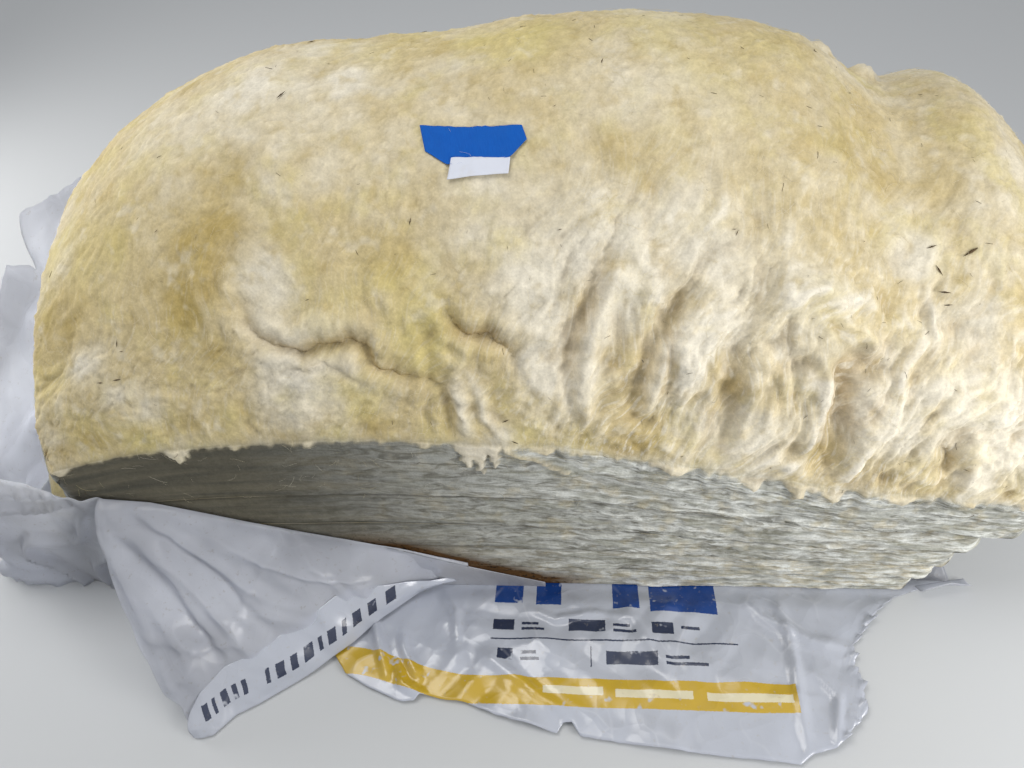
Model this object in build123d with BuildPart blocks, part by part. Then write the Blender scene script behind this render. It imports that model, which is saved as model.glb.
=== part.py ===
from build123d import *
from math import ceil, exp
import os

# Stack of unfaced fiberglass batts, lying on the torn film bag that they were packed in.
# Millimetres. X runs along the batts, -Y is the front, +Z is up.
# The origin is the middle of the stack's footprint, on the floor.

# Batts
batt_width = 590.6  # across the stack, in Y
batt_seat = 0.5  # gap between two batts, so that they rest without touching

# The domed section across the stack: each point's place between the front edge (-1) and the back
# edge (1), and its share of the rise from the edges to the crest.
dome = [
    (-1.0, 0.0),
    (-0.9, 0.25),
    (-0.75, 0.51),
    (-0.5, 0.78),
    (-0.2, 0.95),
    (0.07, 1.0),
    (0.35, 0.93),
    (0.62, 0.72),
    (0.84, 0.4),
    (1.0, 0.0),
]

# Each batt from the lowest up: its share of the stack's height at the edges and at the crest,
# then the X of its left and right ends.
batts = [
    (0.15, 0.19, -640.0, 545.0),
    (0.16, 0.19, -622.0, 562.0),
    (0.17, 0.20, -600.0, 578.0),
    (0.20, 0.20, -572.0, 594.0),
    (0.32, 0.22, -540.0, 636.0),
]

# The stack's top at stations along X: X, height at the front edge, at the crest, at the back edge.
stations = [
    (-660.0, 205.0, 346.0, 242.0),
    (-540.0, 246.0, 440.0, 298.0),
    (-450.0, 275.0, 514.0, 340.0),
    (-330.0, 298.0, 573.0, 375.0),
    (-230.0, 308.0, 596.0, 387.0),
    (-150.0, 315.0, 597.0, 395.0),
    (-70.0, 312.0, 602.0, 399.0),
    (70.0, 302.0, 619.0, 402.0),
    (230.0, 266.0, 615.0, 392.0),
    (350.0, 236.0, 588.0, 368.0),
    (455.0, 214.0, 524.0, 340.0),
    (530.0, 207.0, 532.0, 335.0),
    (645.0, 192.0, 440.0, 290.0),
]

# The top batt's skin has more points: their places across, and the longest step along it.
skin_places = [
    -1.0, -0.97, -0.94, -0.9, -0.85, -0.79, -0.72, -0.64, -0.55, -0.44, -0.3,
    -0.14, 0.04, 0.22, 0.38, 0.52, 0.65, 0.77, 0.88, 0.95, 1.0,
]
skin_step = 50.0
# Its swells and hollows: X, Y, reach in X, reach in Y, height.
swells = [
    (-400.0, -268.0, 90.0, 26.0, 5.0),
    (-215.0, -268.0, 55.0, 24.0, 9.0),
    (-120.0, -228.0, 60.0, 22.0, 8.0),
    (62.0, -262.0, 48.0, 24.0, 12.0),
    (150.0, -200.0, 60.0, 40.0, 6.0),
    (215.0, -262.0, 45.0, 24.0, 8.0),
    (322.0, -250.0, 52.0, 30.0, 20.0),
    (470.0, -250.0, 75.0, 34.0, 16.0),
    (392.0, -120.0, 50.0, 110.0, -9.0),
    (560.0, 190.0, 60.0, 70.0, 12.0),
]

# Film bag
film = 1.5  # thickness of the film, fuller than the real one
film_seat = 0.5  # gap between the film and the lowest batt
stack_to_film = 2.0  # room between the cut edges and the upright film
foot_room = 92.0  # how far the left end's film stands out from the lowest batt, at the floor
top_room = 71.0  # and from the top batt, at the height of its tip
corner_x = -600.0  # near the front left corner the lip stands at its highest
corner_height = 250.0
lip_left_x = -485.0  # from there it sinks to its height here
lip_end_x = 95.0  # and from there slopes down to the floor here
lip_height = 210.0
back_lip_height = 300.0
# The torn upper edge of the left end, seen from the left: Y, height.
torn_end = [(-140.0, 309.0), (-41.0, 368.0), (16.0, 412.0), (190.0, 362.0)]
corner_round = 22.0  # radius of the bag's upright corners
bottom_right_x = 600.0  # right edge of the bottom panel
# The film on the floor in front of the stack, from the flap round the torn right edge: X, Y.
front_panel = [
    (-100.0, -430.0),
    (-38.0, -456.0),
    (86.0, -494.0),
    (247.0, -511.0),
    (360.0, -518.0),
    (404.0, -500.0),
    (448.0, -458.0),
    (452.0, -378.0),
    (521.0, -306.0),
]
# The flap that hangs from the lip: X, how far out its lower edge is, and how high that is.
flap = [
    (-484.0, 4.0, 200.0),
    (-432.0, 112.0, 95.0),
    (-372.0, 207.0, 0.0),
    (-298.0, 166.0, 0.0),
    (-205.0, 106.0, 0.0),
    (-100.0, 68.0, 0.0),
    (30.0, 34.0, 0.0),
]

# Tape and tag
tape_gap = 0.3
tape_thickness = 0.4
tape_length = 106.0
tape_width = 46.0
tape_x = 0.0
tape_from_front = 183.0  # from the front edge of the batts to the middle of the tape
tag_thickness = 0.4
tag_length = 64.0
tag_width = 22.0
tag_shift = (10.0, -25.0)  # from the middle of the tape to the middle of the tag
tag_turn = 8.0

half_width = batt_width / 2
floor_of_stack = film + film_seat


def station_at(x):
    """The stack's heights at any X, on the straight between the two stations beside it."""
    for before, after in zip(stations, stations[1:]):
        if x <= after[0]:
            break
    share = (x - before[0]) / (after[0] - before[0])
    return tuple(a + share * (b - a) for a, b in zip(before, after))


def slope(table, row, column):
    """Slope of a table's column at one of its rows."""
    steps = []
    for a, b in ((row - 1, row), (row, row + 1)):
        if a >= 0 and b < len(table):
            run = table[b][0] - table[a][0]
            steps.append((run, (table[b][column] - table[a][column]) / run))
    if len(steps) == 1:
        return steps[0][1]
    (before, low), (after, high) = steps
    return (after * low + before * high) / (before + after)


def curve(table, x, column):
    """A table's column at x, on a smooth curve through its rows."""
    row = max(number for number, r in enumerate(table[:-1]) if r[0] <= x)
    left, right = table[row], table[row + 1]
    run = right[0] - left[0]
    t = (x - left[0]) / run
    return (
        (2 * t**3 - 3 * t**2 + 1) * left[column]
        + (t**3 - 2 * t**2 + t) * run * slope(table, row, column)
        + (3 * t**2 - 2 * t**3) * right[column]
        + (t**3 - t**2) * run * slope(table, row + 1, column)
    )


def skin(x):
    """Points across the top batt's skin at any X, with its swells and hollows."""
    front, crest, back = (curve(stations, x, column) for column in (1, 2, 3))
    edge_share = sum(b[0] for b in batts)
    crest_share = sum(b[1] for b in batts)
    points = []
    for place in skin_places:
        y = place * half_width
        edge = edge_share * (front + (back - front) * (place + 1) / 2)
        height = edge + curve(dome, place, 1) * (crest_share * crest - edge)
        for swell_x, swell_y, reach_x, reach_y, rise in swells:
            height += rise * exp(-(((x - swell_x) / reach_x) ** 2) - ((y - swell_y) / reach_y) ** 2)
        points.append((y, floor_of_stack + height))
    return points


def across(station, count, lift):
    """Points across the stack along the top of its lowest batts, as many as count, raised by lift."""
    x, front, crest, back = station
    edge_share = sum(b[0] for b in batts[:count])
    crest_share = sum(b[1] for b in batts[:count])
    points = []
    for place, share in dome:
        edge = edge_share * (front + (back - front) * (place + 1) / 2)
        height = edge + share * (crest_share * crest - edge)
        points.append((place * half_width, floor_of_stack + lift + height))
    return points


def make_batt(number):
    """One batt, nested on the one below it, its underside and its top following the dome."""
    left, right = batts[number][2:]
    top = number == len(batts) - 1
    ends = [left, *(s[0] for s in stations if left < s[0] < right), right]
    places = [left]
    for before, after in zip(ends, ends[1:]):
        steps = ceil((after - before) / skin_step) if top else 1
        places += [before + (after - before) * step / steps for step in range(1, steps + 1)]
    sections = []
    for x in places:
        station = station_at(x)
        low = across(station, number, batt_seat if number else 0)
        high = skin(x) if top else across(station, number + 1, 0)
        with BuildSketch(Plane.YZ.offset(x)) as section:
            with BuildLine():
                Polyline(*low, *high[::-1], close=True)
            make_face()
        sections.append(section.sketch.face())
    with BuildPart() as batt:
        loft(sections, ruled=True)
    batt.part.label = f"batt_{number + 1}"
    return batt.part


def on_top(carrier, gap, thickness, middle, turn, length, width):
    """A thin strip of the given plan, lying along the domed top of the carrier."""
    with BuildPart() as strip:
        with BuildSketch(Plane.XY):
            with Locations(middle):
                Rectangle(length, width, rotation=turn)
        extrude(amount=2 * max(s[2] for s in stations))
        add(Pos(0, 0, gap + thickness) * carrier, mode=Mode.INTERSECT)
        add(Pos(0, 0, gap) * carrier, mode=Mode.SUBTRACT)
    return strip.part


os.makedirs("parts", exist_ok=True)
for number in range(len(batts)):
    part = make_batt(number)
    export_step(part, f"parts/{part.label}.step")
top_batt = part

tape_middle = (tape_x, tape_from_front - half_width)
tape = on_top(top_batt, tape_gap, tape_thickness, tape_middle, 0, tape_length, tape_width)
tape.label = "tape_strip"
export_step(tape, "parts/tape_strip.step")

tag_gap = 2 * tape_gap + tape_thickness
tag_middle = (tape_middle[0] + tag_shift[0], tape_middle[1] + tag_shift[1])
tag = on_top(top_batt, tag_gap, tag_thickness, tag_middle, tag_turn, tag_length, tag_width)
tag.label = "paper_tag"
export_step(tag, "parts/paper_tag.step")

# The bag is one film: a bottom panel, upright film round the left end with a lip along the front
# and the back, a flap that hangs from the front lip, and the front panel on the floor.
wall_y = half_width + stack_to_film
outer_y = wall_y + film
tip_height = max(height for y, height in torn_end)
bag_foot_x = batts[0][2] - foot_room
bag_top_x = batts[-1][2] - top_room
lip_slope = lip_height / (lip_end_x - lip_left_x)
far = 2 * outer_y
with BuildPart() as wrapper:
    with BuildSketch(Plane.XZ):
        with BuildLine():
            Polyline(
                (bag_foot_x, 0),
                (lip_end_x, 0),
                (lip_end_x, tip_height),
                (bag_top_x, tip_height),
                close=True,
            )
        make_face()
    extrude(amount=outer_y, both=True)
    leaning = wrapper.faces().sort_by(Axis.X)[0]
    fillet(leaning.edges().filter_by(Axis.Y, reverse=True), corner_round)
    top = wrapper.faces().sort_by(Axis.Z)[-1]
    right = wrapper.faces().sort_by(Axis.X)[-1]
    offset(amount=-film, openings=[top, right])
    with BuildSketch(Plane.YZ):
        with BuildLine():
            Polyline(
                (-outer_y, corner_height),
                *torn_end,
                (outer_y, back_lip_height),
                (far, back_lip_height),
                (far, far),
                (-far, far),
                (-far, corner_height),
                close=True,
            )
        make_face()
    extrude(amount=2 * abs(bag_foot_x), both=True, mode=Mode.SUBTRACT)
    fronts = [(corner_x, corner_height), (lip_left_x, lip_height)]
    backs = [(lip_left_x, back_lip_height)]
    for level, towards in ((fronts, 1), (backs, -1)):
        with BuildSketch(Plane.XZ):
            with BuildLine():
                Polyline(
                    *level,
                    (lip_end_x, film),
                    (2 * lip_end_x, film),
                    (2 * lip_end_x, far),
                    (level[0][0], far),
                    close=True,
                )
            make_face()
        extrude(amount=towards * far, mode=Mode.SUBTRACT)
    with BuildSketch(Plane.XY):
        with BuildLine():
            Polyline(
                (front_panel[0][0], 0),
                *front_panel,
                (bottom_right_x, -half_width),
                (bottom_right_x, half_width),
                (front_panel[0][0], half_width),
                close=True,
            )
        make_face()
    extrude(amount=film)
    hanging = []
    for x, out, foot in flap:
        height = (lip_end_x - x) * lip_slope
        with BuildSketch(Plane.YZ.offset(x)) as across_flap:
            with BuildLine():
                Polyline(
                    (-wall_y, height),
                    (-outer_y, height),
                    (-outer_y - out - film, foot),
                    (-wall_y - out, foot),
                    close=True,
                )
            make_face()
        hanging.append(across_flap.sketch.face())
    loft(hanging, ruled=True)
wrapper.part.label = "wrapper"
export_step(wrapper.part, "parts/wrapper.step")
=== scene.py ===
"""Stack of unfaced fiberglass batts on the torn film bag that they were packed in.

Metres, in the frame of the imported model: X runs along the batts, -Y is the front, Z is up.
"""

import math

import bpy
import numpy as np
from bpy.props import FloatProperty, FloatVectorProperty, IntProperty, PointerProperty
from mathutils import Matrix, Vector


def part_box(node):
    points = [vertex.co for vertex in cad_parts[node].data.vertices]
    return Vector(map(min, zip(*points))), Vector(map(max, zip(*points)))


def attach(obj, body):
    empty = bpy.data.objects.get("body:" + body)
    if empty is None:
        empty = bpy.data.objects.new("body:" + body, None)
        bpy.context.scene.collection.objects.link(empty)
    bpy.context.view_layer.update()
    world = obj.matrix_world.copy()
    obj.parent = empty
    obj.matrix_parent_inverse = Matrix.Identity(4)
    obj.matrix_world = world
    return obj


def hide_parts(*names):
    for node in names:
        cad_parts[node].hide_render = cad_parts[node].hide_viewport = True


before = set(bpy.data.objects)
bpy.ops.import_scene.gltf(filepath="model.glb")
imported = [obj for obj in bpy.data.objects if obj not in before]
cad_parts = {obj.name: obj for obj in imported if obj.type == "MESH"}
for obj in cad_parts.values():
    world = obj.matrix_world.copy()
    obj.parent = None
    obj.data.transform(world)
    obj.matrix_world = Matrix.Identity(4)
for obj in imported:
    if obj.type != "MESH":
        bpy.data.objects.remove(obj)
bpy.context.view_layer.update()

bl_info = {
    "name": "Fiberglass Batt Stack",
    "version": (1, 0, 0),
    "blender": (4, 5, 0),
    "location": "View3D > Sidebar > Batt Stack",
    "description": "Builds a stack of fiberglass batts on its torn film bag",
    "category": "Object",
}

HALF_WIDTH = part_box("batt_5")[1].y
FLOOR_OF_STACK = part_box("batt_1")[0].z

# Cells up through the top batt and through the others, and how much closer cells are set.
TOP_LAYERS, LOW_LAYERS = 22, 16
CLOSER_IN_FRONT, CLOSER_AT_RIGHT = 0.35, 0.12
# A hidden cover has one cell to this many of the ring round it, and lies this share inside it.
COVER_STEP, COVER_INSET = 10, 0.006
# How round a batt's ends, its upright corners and the grooves between batts are.
END_RADIUS, CORNER_RADIUS, GROOVE, TOP_GROOVE = 0.012, 0.018, 0.0022, 0.0032
NO_JOINT = 1.0

# The stack's top at stations along X: X, height at the front edge, at the crest, at the back edge.
STATIONS = np.array([
    (-0.660, 0.205, 0.346, 0.242),
    (-0.540, 0.246, 0.440, 0.298),
    (-0.450, 0.275, 0.514, 0.340),
    (-0.330, 0.298, 0.573, 0.375),
    (-0.230, 0.308, 0.596, 0.387),
    (-0.150, 0.315, 0.597, 0.395),
    (-0.070, 0.312, 0.602, 0.399),
    (0.070, 0.302, 0.619, 0.402),
    (0.230, 0.266, 0.615, 0.392),
    (0.350, 0.236, 0.588, 0.368),
    (0.455, 0.214, 0.524, 0.340),
    (0.530, 0.207, 0.532, 0.335),
    (0.645, 0.192, 0.440, 0.290),
])

# The domed section: place across from the front edge (-1) to the back (1), share of the rise.
DOME = np.array([
    (-1.0, 0.0),
    (-0.9, 0.25),
    (-0.75, 0.51),
    (-0.5, 0.78),
    (-0.2, 0.95),
    (0.07, 1.0),
    (0.35, 0.93),
    (0.62, 0.72),
    (0.84, 0.4),
    (1.0, 0.0),
])

# Each batt from the lowest: its share of the height at the edges and at the crest.
SHARES = [(0.15, 0.19), (0.16, 0.19), (0.17, 0.20), (0.20, 0.20), (0.32, 0.22)]

# Swells and hollows of the top batt: X, Y, reach in X, reach in Y, height.
SWELLS = [
    (-0.400, -0.268, 0.090, 0.026, 0.005),
    (-0.215, -0.268, 0.055, 0.024, 0.009),
    (-0.120, -0.228, 0.060, 0.022, 0.008),
    (0.062, -0.262, 0.048, 0.024, 0.012),
    (0.150, -0.200, 0.060, 0.040, 0.006),
    (0.215, -0.262, 0.045, 0.024, 0.008),
    (0.322, -0.250, 0.052, 0.030, 0.020),
    (0.470, -0.250, 0.075, 0.034, 0.016),
    (0.392, -0.120, 0.050, 0.110, -0.009),
    (0.560, 0.190, 0.060, 0.070, 0.012),
]

# Creases and ridges of the top batt: width, depth (a ridge's is negative), how far its upper side
# hangs over, how pale it is (pale along a ridge is partly pale fibre and partly painted highlight),
# and the line on plan.
FOLDS = [
    (0.010, 0.013, 0.006, 0.0, [
        (-0.241, -0.223), (-0.240, -0.234), (-0.228, -0.243), (-0.204, -0.249), (-0.182, -0.252),
        (-0.167, -0.248), (-0.148, -0.246), (-0.132, -0.246), (-0.117, -0.250), (-0.103, -0.259),
        (-0.082, -0.264), (-0.061, -0.265), (-0.041, -0.267)]),
    (0.010, -0.009, 0.0, 0.8, [
        (-0.126, -0.268), (-0.140, -0.261), (-0.156, -0.259), (-0.170, -0.261), (-0.180, -0.267),
        (-0.190, -0.273), (-0.197, -0.289)]),
    (0.009, 0.012, 0.006, 0.0, [
        (-0.028, -0.228), (-0.020, -0.237), (-0.006, -0.242), (0.014, -0.246), (0.029, -0.252),
        (0.037, -0.262)]),
    (0.011, 0.013, 0.0, 0.0, [
        (0.134, -0.200), (0.117, -0.221), (0.104, -0.238), (0.094, -0.256), (0.092, -0.270)]),
    (0.009, -0.011, 0.0, 1.0, [
        (0.132, -0.216), (0.121, -0.232), (0.113, -0.247), (0.109, -0.262), (0.109, -0.274),
        (0.121, -0.283)]),
    (0.009, -0.010, 0.0, 1.0, [
        (0.226, -0.222), (0.212, -0.235), (0.197, -0.246), (0.188, -0.259), (0.180, -0.272)]),
    (0.010, 0.010, 0.0, 0.0, [
        (0.205, -0.215), (0.192, -0.232), (0.176, -0.246), (0.165, -0.262), (0.160, -0.276)]),
    (0.010, -0.008, 0.0, 0.7, [(0.158, -0.228), (0.180, -0.217), (0.216, -0.212), (0.240, -0.214)]),
    (0.009, -0.007, 0.0, 0.6, [(0.190, -0.256), (0.219, -0.253), (0.228, -0.239), (0.248, -0.228)]),
    (0.014, -0.009, 0.0, 0.4, [
        (0.284, -0.232), (0.296, -0.220), (0.316, -0.210), (0.341, -0.204), (0.363, -0.199),
        (0.393, -0.201), (0.408, -0.213)]),
    (0.015, 0.018, 0.003, 0.0, [
        (0.418, -0.226), (0.406, -0.234), (0.390, -0.239), (0.377, -0.244), (0.380, -0.252),
        (0.381, -0.259), (0.377, -0.267), (0.374, -0.275), (0.371, -0.286)]),
    (0.009, 0.008, 0.0, 0.0, [(0.296, -0.262), (0.310, -0.252), (0.334, -0.249), (0.350, -0.258)]),
    (0.006, -0.006, 0.0, 1.0, [
        (0.456, -0.172), (0.461, -0.185), (0.464, -0.200), (0.468, -0.216), (0.471, -0.232)]),
    (0.007, -0.006, 0.0, 1.0, [
        (-0.024, -0.262), (-0.022, -0.272), (-0.018, -0.283), (-0.016, -0.294)]),
    (0.006, -0.005, 0.0, 0.9, [(-0.012, -0.262), (0.0, -0.274), (0.014, -0.286), (0.030, -0.294)]),
    (0.008, 0.009, 0.0, 0.0, [(-0.034, -0.266), (-0.036, -0.278), (-0.030, -0.291)]),
    (0.008, 0.004, 0.0, 0.0, [
        (-0.238, -0.169), (-0.254, -0.183), (-0.271, -0.197), (-0.281, -0.216), (-0.288, -0.229)]),
    (0.008, 0.006, 0.003, 0.0, [
        (-0.205, -0.262), (-0.186, -0.262), (-0.160, -0.257), (-0.140, -0.262), (-0.122, -0.270)]),
    (0.012, -0.005, 0.0, 0.6, [
        (-0.262, -0.232), (-0.240, -0.238), (-0.216, -0.246), (-0.190, -0.245), (-0.168, -0.239),
        (-0.140, -0.239), (-0.112, -0.246)]),
    (0.007, 0.005, 0.0, 0.0, [
        (-0.060, -0.236), (-0.052, -0.250), (-0.050, -0.268), (-0.058, -0.284)]),
    (0.012, 0.012, 0.004, 0.0, [(0.500, -0.268), (0.512, -0.279), (0.514, -0.290)]),
    (0.010, 0.010, 0.0, 0.0, [(0.262, -0.240), (0.256, -0.255), (0.262, -0.270), (0.254, -0.284)]),
]

# Lumps of the top batt: X, Y, radius, height, how pale it is (partly pale fibre and partly painted
# highlight).
LUMPS = [
    (0.344, -0.228, 0.052, 0.007, 0.3),
    (0.405, -0.228, 0.016, 0.012, 0.2),
    (0.446, -0.158, 0.030, 0.004, 1.0),
    (0.452, -0.262, 0.055, 0.007, 0.3),
    (0.292, -0.262, 0.026, 0.006, 0.2),
    (0.498, 0.250, 0.018, 0.016, 0.6),
    (0.463, 0.262, 0.012, 0.012, 0.6),
    (0.437, 0.095, 0.014, 0.013, 0.8),
    (0.456, 0.118, 0.011, 0.010, 0.8),
    (0.380, 0.080, 0.012, 0.006, 0.5),
]

# Patches of colour on the top batt: X, Y, radius, strength.
OCHRE = [
    (-0.268, -0.178, 0.034, 1.0), (-0.298, -0.205, 0.040, 1.0), (-0.315, -0.228, 0.026, 0.6),
    (-0.279, -0.250, 0.020, 0.9), (-0.474, -0.207, 0.040, 0.7), (-0.500, -0.180, 0.030, 0.5),
    (-0.451, -0.282, 0.022, 0.7), (-0.500, -0.284, 0.016, 0.7), (-0.320, -0.281, 0.022, 0.5),
    (-0.080, -0.199, 0.030, 0.5), (-0.250, -0.120, 0.050, 0.55), (-0.160, -0.060, 0.035, 0.5),
    (-0.345, 0.020, 0.030, 0.6), (0.171, -0.288, 0.022, 0.8), (0.252, -0.264, 0.022, 0.5),
    (0.127, -0.287, 0.024, 0.5), (-0.111, -0.288, 0.022, 0.6), (-0.400, -0.124, 0.045, 0.4),
    (0.460, -0.278, 0.024, 0.5), (0.372, -0.277, 0.014, 0.8), (0.164, -0.137, 0.040, 0.35),
    (-0.211, -0.292, 0.020, 0.5), (0.380, -0.090, 0.070, 0.5), (0.412, -0.240, 0.018, 0.6),
    (0.565, -0.283, 0.016, 0.8), (0.620, -0.284, 0.014, 0.8), (0.325, -0.268, 0.020, 0.4),
]
PALE = [
    (-0.148, -0.037, 0.045, 1.0), (-0.250, -0.037, 0.045, 0.9), (-0.170, 0.050, 0.040, 0.8),
    (-0.300, 0.100, 0.045, 0.5), (-0.442, -0.240, 0.026, 1.0), (-0.398, -0.266, 0.024, 1.0),
    (-0.370, -0.274, 0.018, 0.8), (-0.230, -0.200, 0.030, 0.5), (-0.214, -0.218, 0.030, 0.6),
    (-0.197, -0.283, 0.014, 1.0), (-0.192, -0.266, 0.018, 1.0), (-0.215, -0.262, 0.030, 0.6),
    (0.146, -0.063, 0.050, 0.6), (0.085, -0.272, 0.030, 0.9), (0.064, -0.262, 0.026, 0.9),
    (0.019, -0.290, 0.016, 0.8), (0.116, -0.250, 0.026, 1.0), (0.130, -0.200, 0.040, 0.9),
    (0.224, -0.100, 0.050, 0.4), (0.320, -0.276, 0.026, 0.9), (0.445, -0.262, 0.045, 0.9),
    (0.223, -0.190, 0.050, 1.0), (0.165, -0.225, 0.036, 0.9), (0.568, -0.266, 0.040, 0.7),
    (0.520, -0.240, 0.040, 0.6), (0.448, -0.160, 0.024, 1.0), (0.260, -0.235, 0.030, 0.7),
    (0.600, -0.262, 0.040, 1.0), (0.540, -0.282, 0.030, 0.8), (0.180, 0.090, 0.060, 0.4),
    (0.385, -0.262, 0.030, 0.8), (0.075, -0.240, 0.040, 0.9), (0.050, -0.220, 0.030, 0.8),
    (0.500, -0.200, 0.040, 0.6), (0.180, -0.262, 0.020, 0.7), (0.260, -0.277, 0.020, 0.6),
    (0.330, -0.240, 0.040, 0.8), (0.420, -0.235, 0.035, 0.8), (0.500, -0.262, 0.040, 0.8),
    (0.020, -0.150, 0.040, 0.4), (-0.350, -0.050, 0.060, 0.5),
]
YELLOW = [
    (0.065, 0.010, 0.040, 0.9), (-0.076, -0.216, 0.036, 0.9), (-0.151, -0.232, 0.032, 0.9),
    (-0.128, -0.278, 0.022, 0.9), (-0.279, -0.284, 0.024, 0.8), (-0.038, -0.240, 0.024, 0.8),
    (-0.157, -0.291, 0.014, 0.9), (0.306, 0.008, 0.040, 0.5), (0.227, -0.042, 0.045, 0.5),
    (0.502, -0.274, 0.026, 0.7), (0.0, 0.030, 0.035, 0.8), (-0.111, 0.030, 0.040, 0.6),
    (-0.429, -0.152, 0.050, 0.6), (-0.380, -0.288, 0.040, 0.8), (-0.030, -0.288, 0.030, 0.6),
    (0.110, -0.289, 0.022, 0.8), (0.040, -0.289, 0.018, 0.6), (-0.490, -0.240, 0.030, 0.6),
    (-0.060, -0.254, 0.030, 0.8), (-0.505, -0.120, 0.040, 0.7), (-0.060, 0.130, 0.050, 0.6),
    (0.340, -0.222, 0.036, 0.5), (0.200, -0.285, 0.020, 0.5),
]

# Tufts that hang over the top batt's front edge: X, width, how far down.
TUFTS = [
    (-0.512, 0.014, 0.008), (-0.353, 0.009, 0.020), (-0.341, 0.004, 0.012), (-0.280, 0.007, 0.006),
    (-0.192, 0.006, 0.006), (-0.062, 0.006, 0.007), (-0.018, 0.008, 0.036), (-0.004, 0.006, 0.050),
    (0.012, 0.006, 0.034), (0.070, 0.010, 0.008), (0.210, 0.016, 0.010), (0.300, 0.012, 0.016),
    (0.350, 0.009, 0.022), (0.392, 0.010, 0.018), (0.470, 0.014, 0.010),
]
# A strand across the front face below the edge: X, how far down.
STRAND = [(0.026, 0.0), (0.040, 0.010), (0.060, 0.018), (0.074, 0.028), (0.092, 0.036)]

# Bits of straw that stand out on the skin: X, Y, length, turn.
STRAWS = [
    (-0.424, -0.254, 0.010, 0.1), (-0.402, -0.255, 0.011, 0.3), (-0.394, -0.232, 0.010, 1.2),
    (-0.391, -0.238, 0.006, 0.2), (-0.208, -0.044, 0.014, 0.9), (-0.204, 0.080, 0.012, 0.7),
    (-0.167, 0.011, 0.005, 0.1), (-0.063, -0.174, 0.009, 1.5), (0.027, -0.284, 0.010, 1.1),
    (0.036, -0.292, 0.010, -0.9), (0.475, -0.184, 0.014, -0.2), (0.480, -0.193, 0.010, 0.1),
    (0.501, -0.157, 0.022, 0.6), (0.462, -0.150, 0.012, 0.4), (0.470, -0.168, 0.014, -1.1),
    (0.529, -0.280, 0.007, 0.3), (0.386, -0.162, 0.004, 0.9), (0.255, -0.179, 0.005, 0.2),
    (0.258, -0.181, 0.007, 1.5), (0.086, -0.187, 0.006, 0.4), (-0.171, -0.224, 0.006, 0.5),
    (-0.338, -0.160, 0.006, 0.7), (0.128, -0.039, 0.009, 1.3), (0.081, -0.088, 0.005, 0.6),
]

# Where the bag's bottom lies over the floor, and how far it reaches to the left.
BOTTOM, BOTTOM_LEFT = 0.0006, -0.722
# Crumples of the film: turn on plan, rise, width of a fold.
CRUMPLES = [
    (0.3, 0.5, 0.085), (1.15, 0.3, 0.06), (2.0, 0.6, 0.11), (2.65, 0.4, 0.047), (0.85, 0.2, 0.033),
]
# The collar of film round the left end: room to the batts, how round its corners are, its cells
# up and along each lip, and its cells along its other runs, from the front lip round to the back.
COLLAR_GAP, COLLAR_RADIUS, COLLAR_ROWS, LIP_COLUMNS = 0.003, 0.030, 36, 150
COLLAR_RUNS = [("side", 56), ("corner", 12), ("end", 160), ("far_corner", 12), ("far_side", 46)]
# The lip of the film along the front of the stack: X, height.
LIP = np.array([
    (-0.485, 0.208), (-0.423, 0.201), (-0.367, 0.180), (-0.310, 0.158), (-0.250, 0.137),
    (-0.190, 0.117), (-0.128, 0.093), (-0.066, 0.063), (-0.027, 0.046), (0.060, 0.012),
])
# The torn upper edge of the film round the left end, seen from the left: Y, height, flare.
TORN_END = np.array([
    (-0.300, 0.250, 0.0), (-0.256, 0.251, 0.004), (-0.188, 0.276, 0.008), (-0.140, 0.309, 0.006),
    (-0.095, 0.330, 0.004), (-0.041, 0.368, 0.012), (-0.014, 0.345, 0.004), (-0.006, 0.330, 0.002),
    (0.008, 0.392, 0.018), (0.018, 0.408, 0.022), (0.060, 0.396, 0.010), (0.190, 0.362, 0.002),
    (0.300, 0.300, 0.002),
])
# The foot of the flap that hangs from the lip: X at the lip, X and Y at the foot, width of the
# strip that is turned over along it.
FLAP_FOOT = np.array([
    (-0.485, -0.371, -0.509, 0.016), (-0.462, -0.362, -0.509, 0.034),
    (-0.435, -0.348, -0.505, 0.052), (-0.390, -0.326, -0.480, 0.060),
    (-0.330, -0.298, -0.464, 0.062), (-0.260, -0.240, -0.424, 0.070),
    (-0.200, -0.192, -0.386, 0.072), (-0.160, -0.160, -0.352, 0.050),
    (-0.110, -0.112, -0.312, 0.020), (-0.040, -0.058, -0.288, 0.004),
])
# Sharp folds of the flap: width, height, line as the share from its left edge and the share down.
FLAP_FOLDS = [
    (0.020, 0.012, [(0.00, 0.00), (0.09, 0.45), (0.14, 0.95)]),
    (0.016, 0.010, [(0.03, 0.04), (0.22, 0.45), (0.36, 0.80)]),
    (0.014, -0.010, [(0.02, 0.05), (0.14, 0.50), (0.24, 0.86)]),
    (0.012, 0.007, [(0.10, 0.04), (0.36, 0.40), (0.52, 0.62)]),
    (0.010, -0.006, [(0.06, 0.04), (0.30, 0.42), (0.44, 0.74)]),
    (0.009, 0.005, [(0.22, 0.05), (0.52, 0.35), (0.70, 0.50)]),
    (0.008, 0.004, [(0.30, 0.60), (0.40, 0.35), (0.46, 0.08)]),
    (0.008, 0.005, [(0.04, 0.55), (0.16, 0.68), (0.30, 0.70)]),
    (0.007, 0.004, [(0.03, 0.80), (0.12, 0.74), (0.18, 0.55)]),
    (0.010, 0.005, [(0.50, 0.06), (0.62, 0.50), (0.66, 0.80)]),
]
FLAP_SIZE = (0.44, 0.24)
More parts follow.
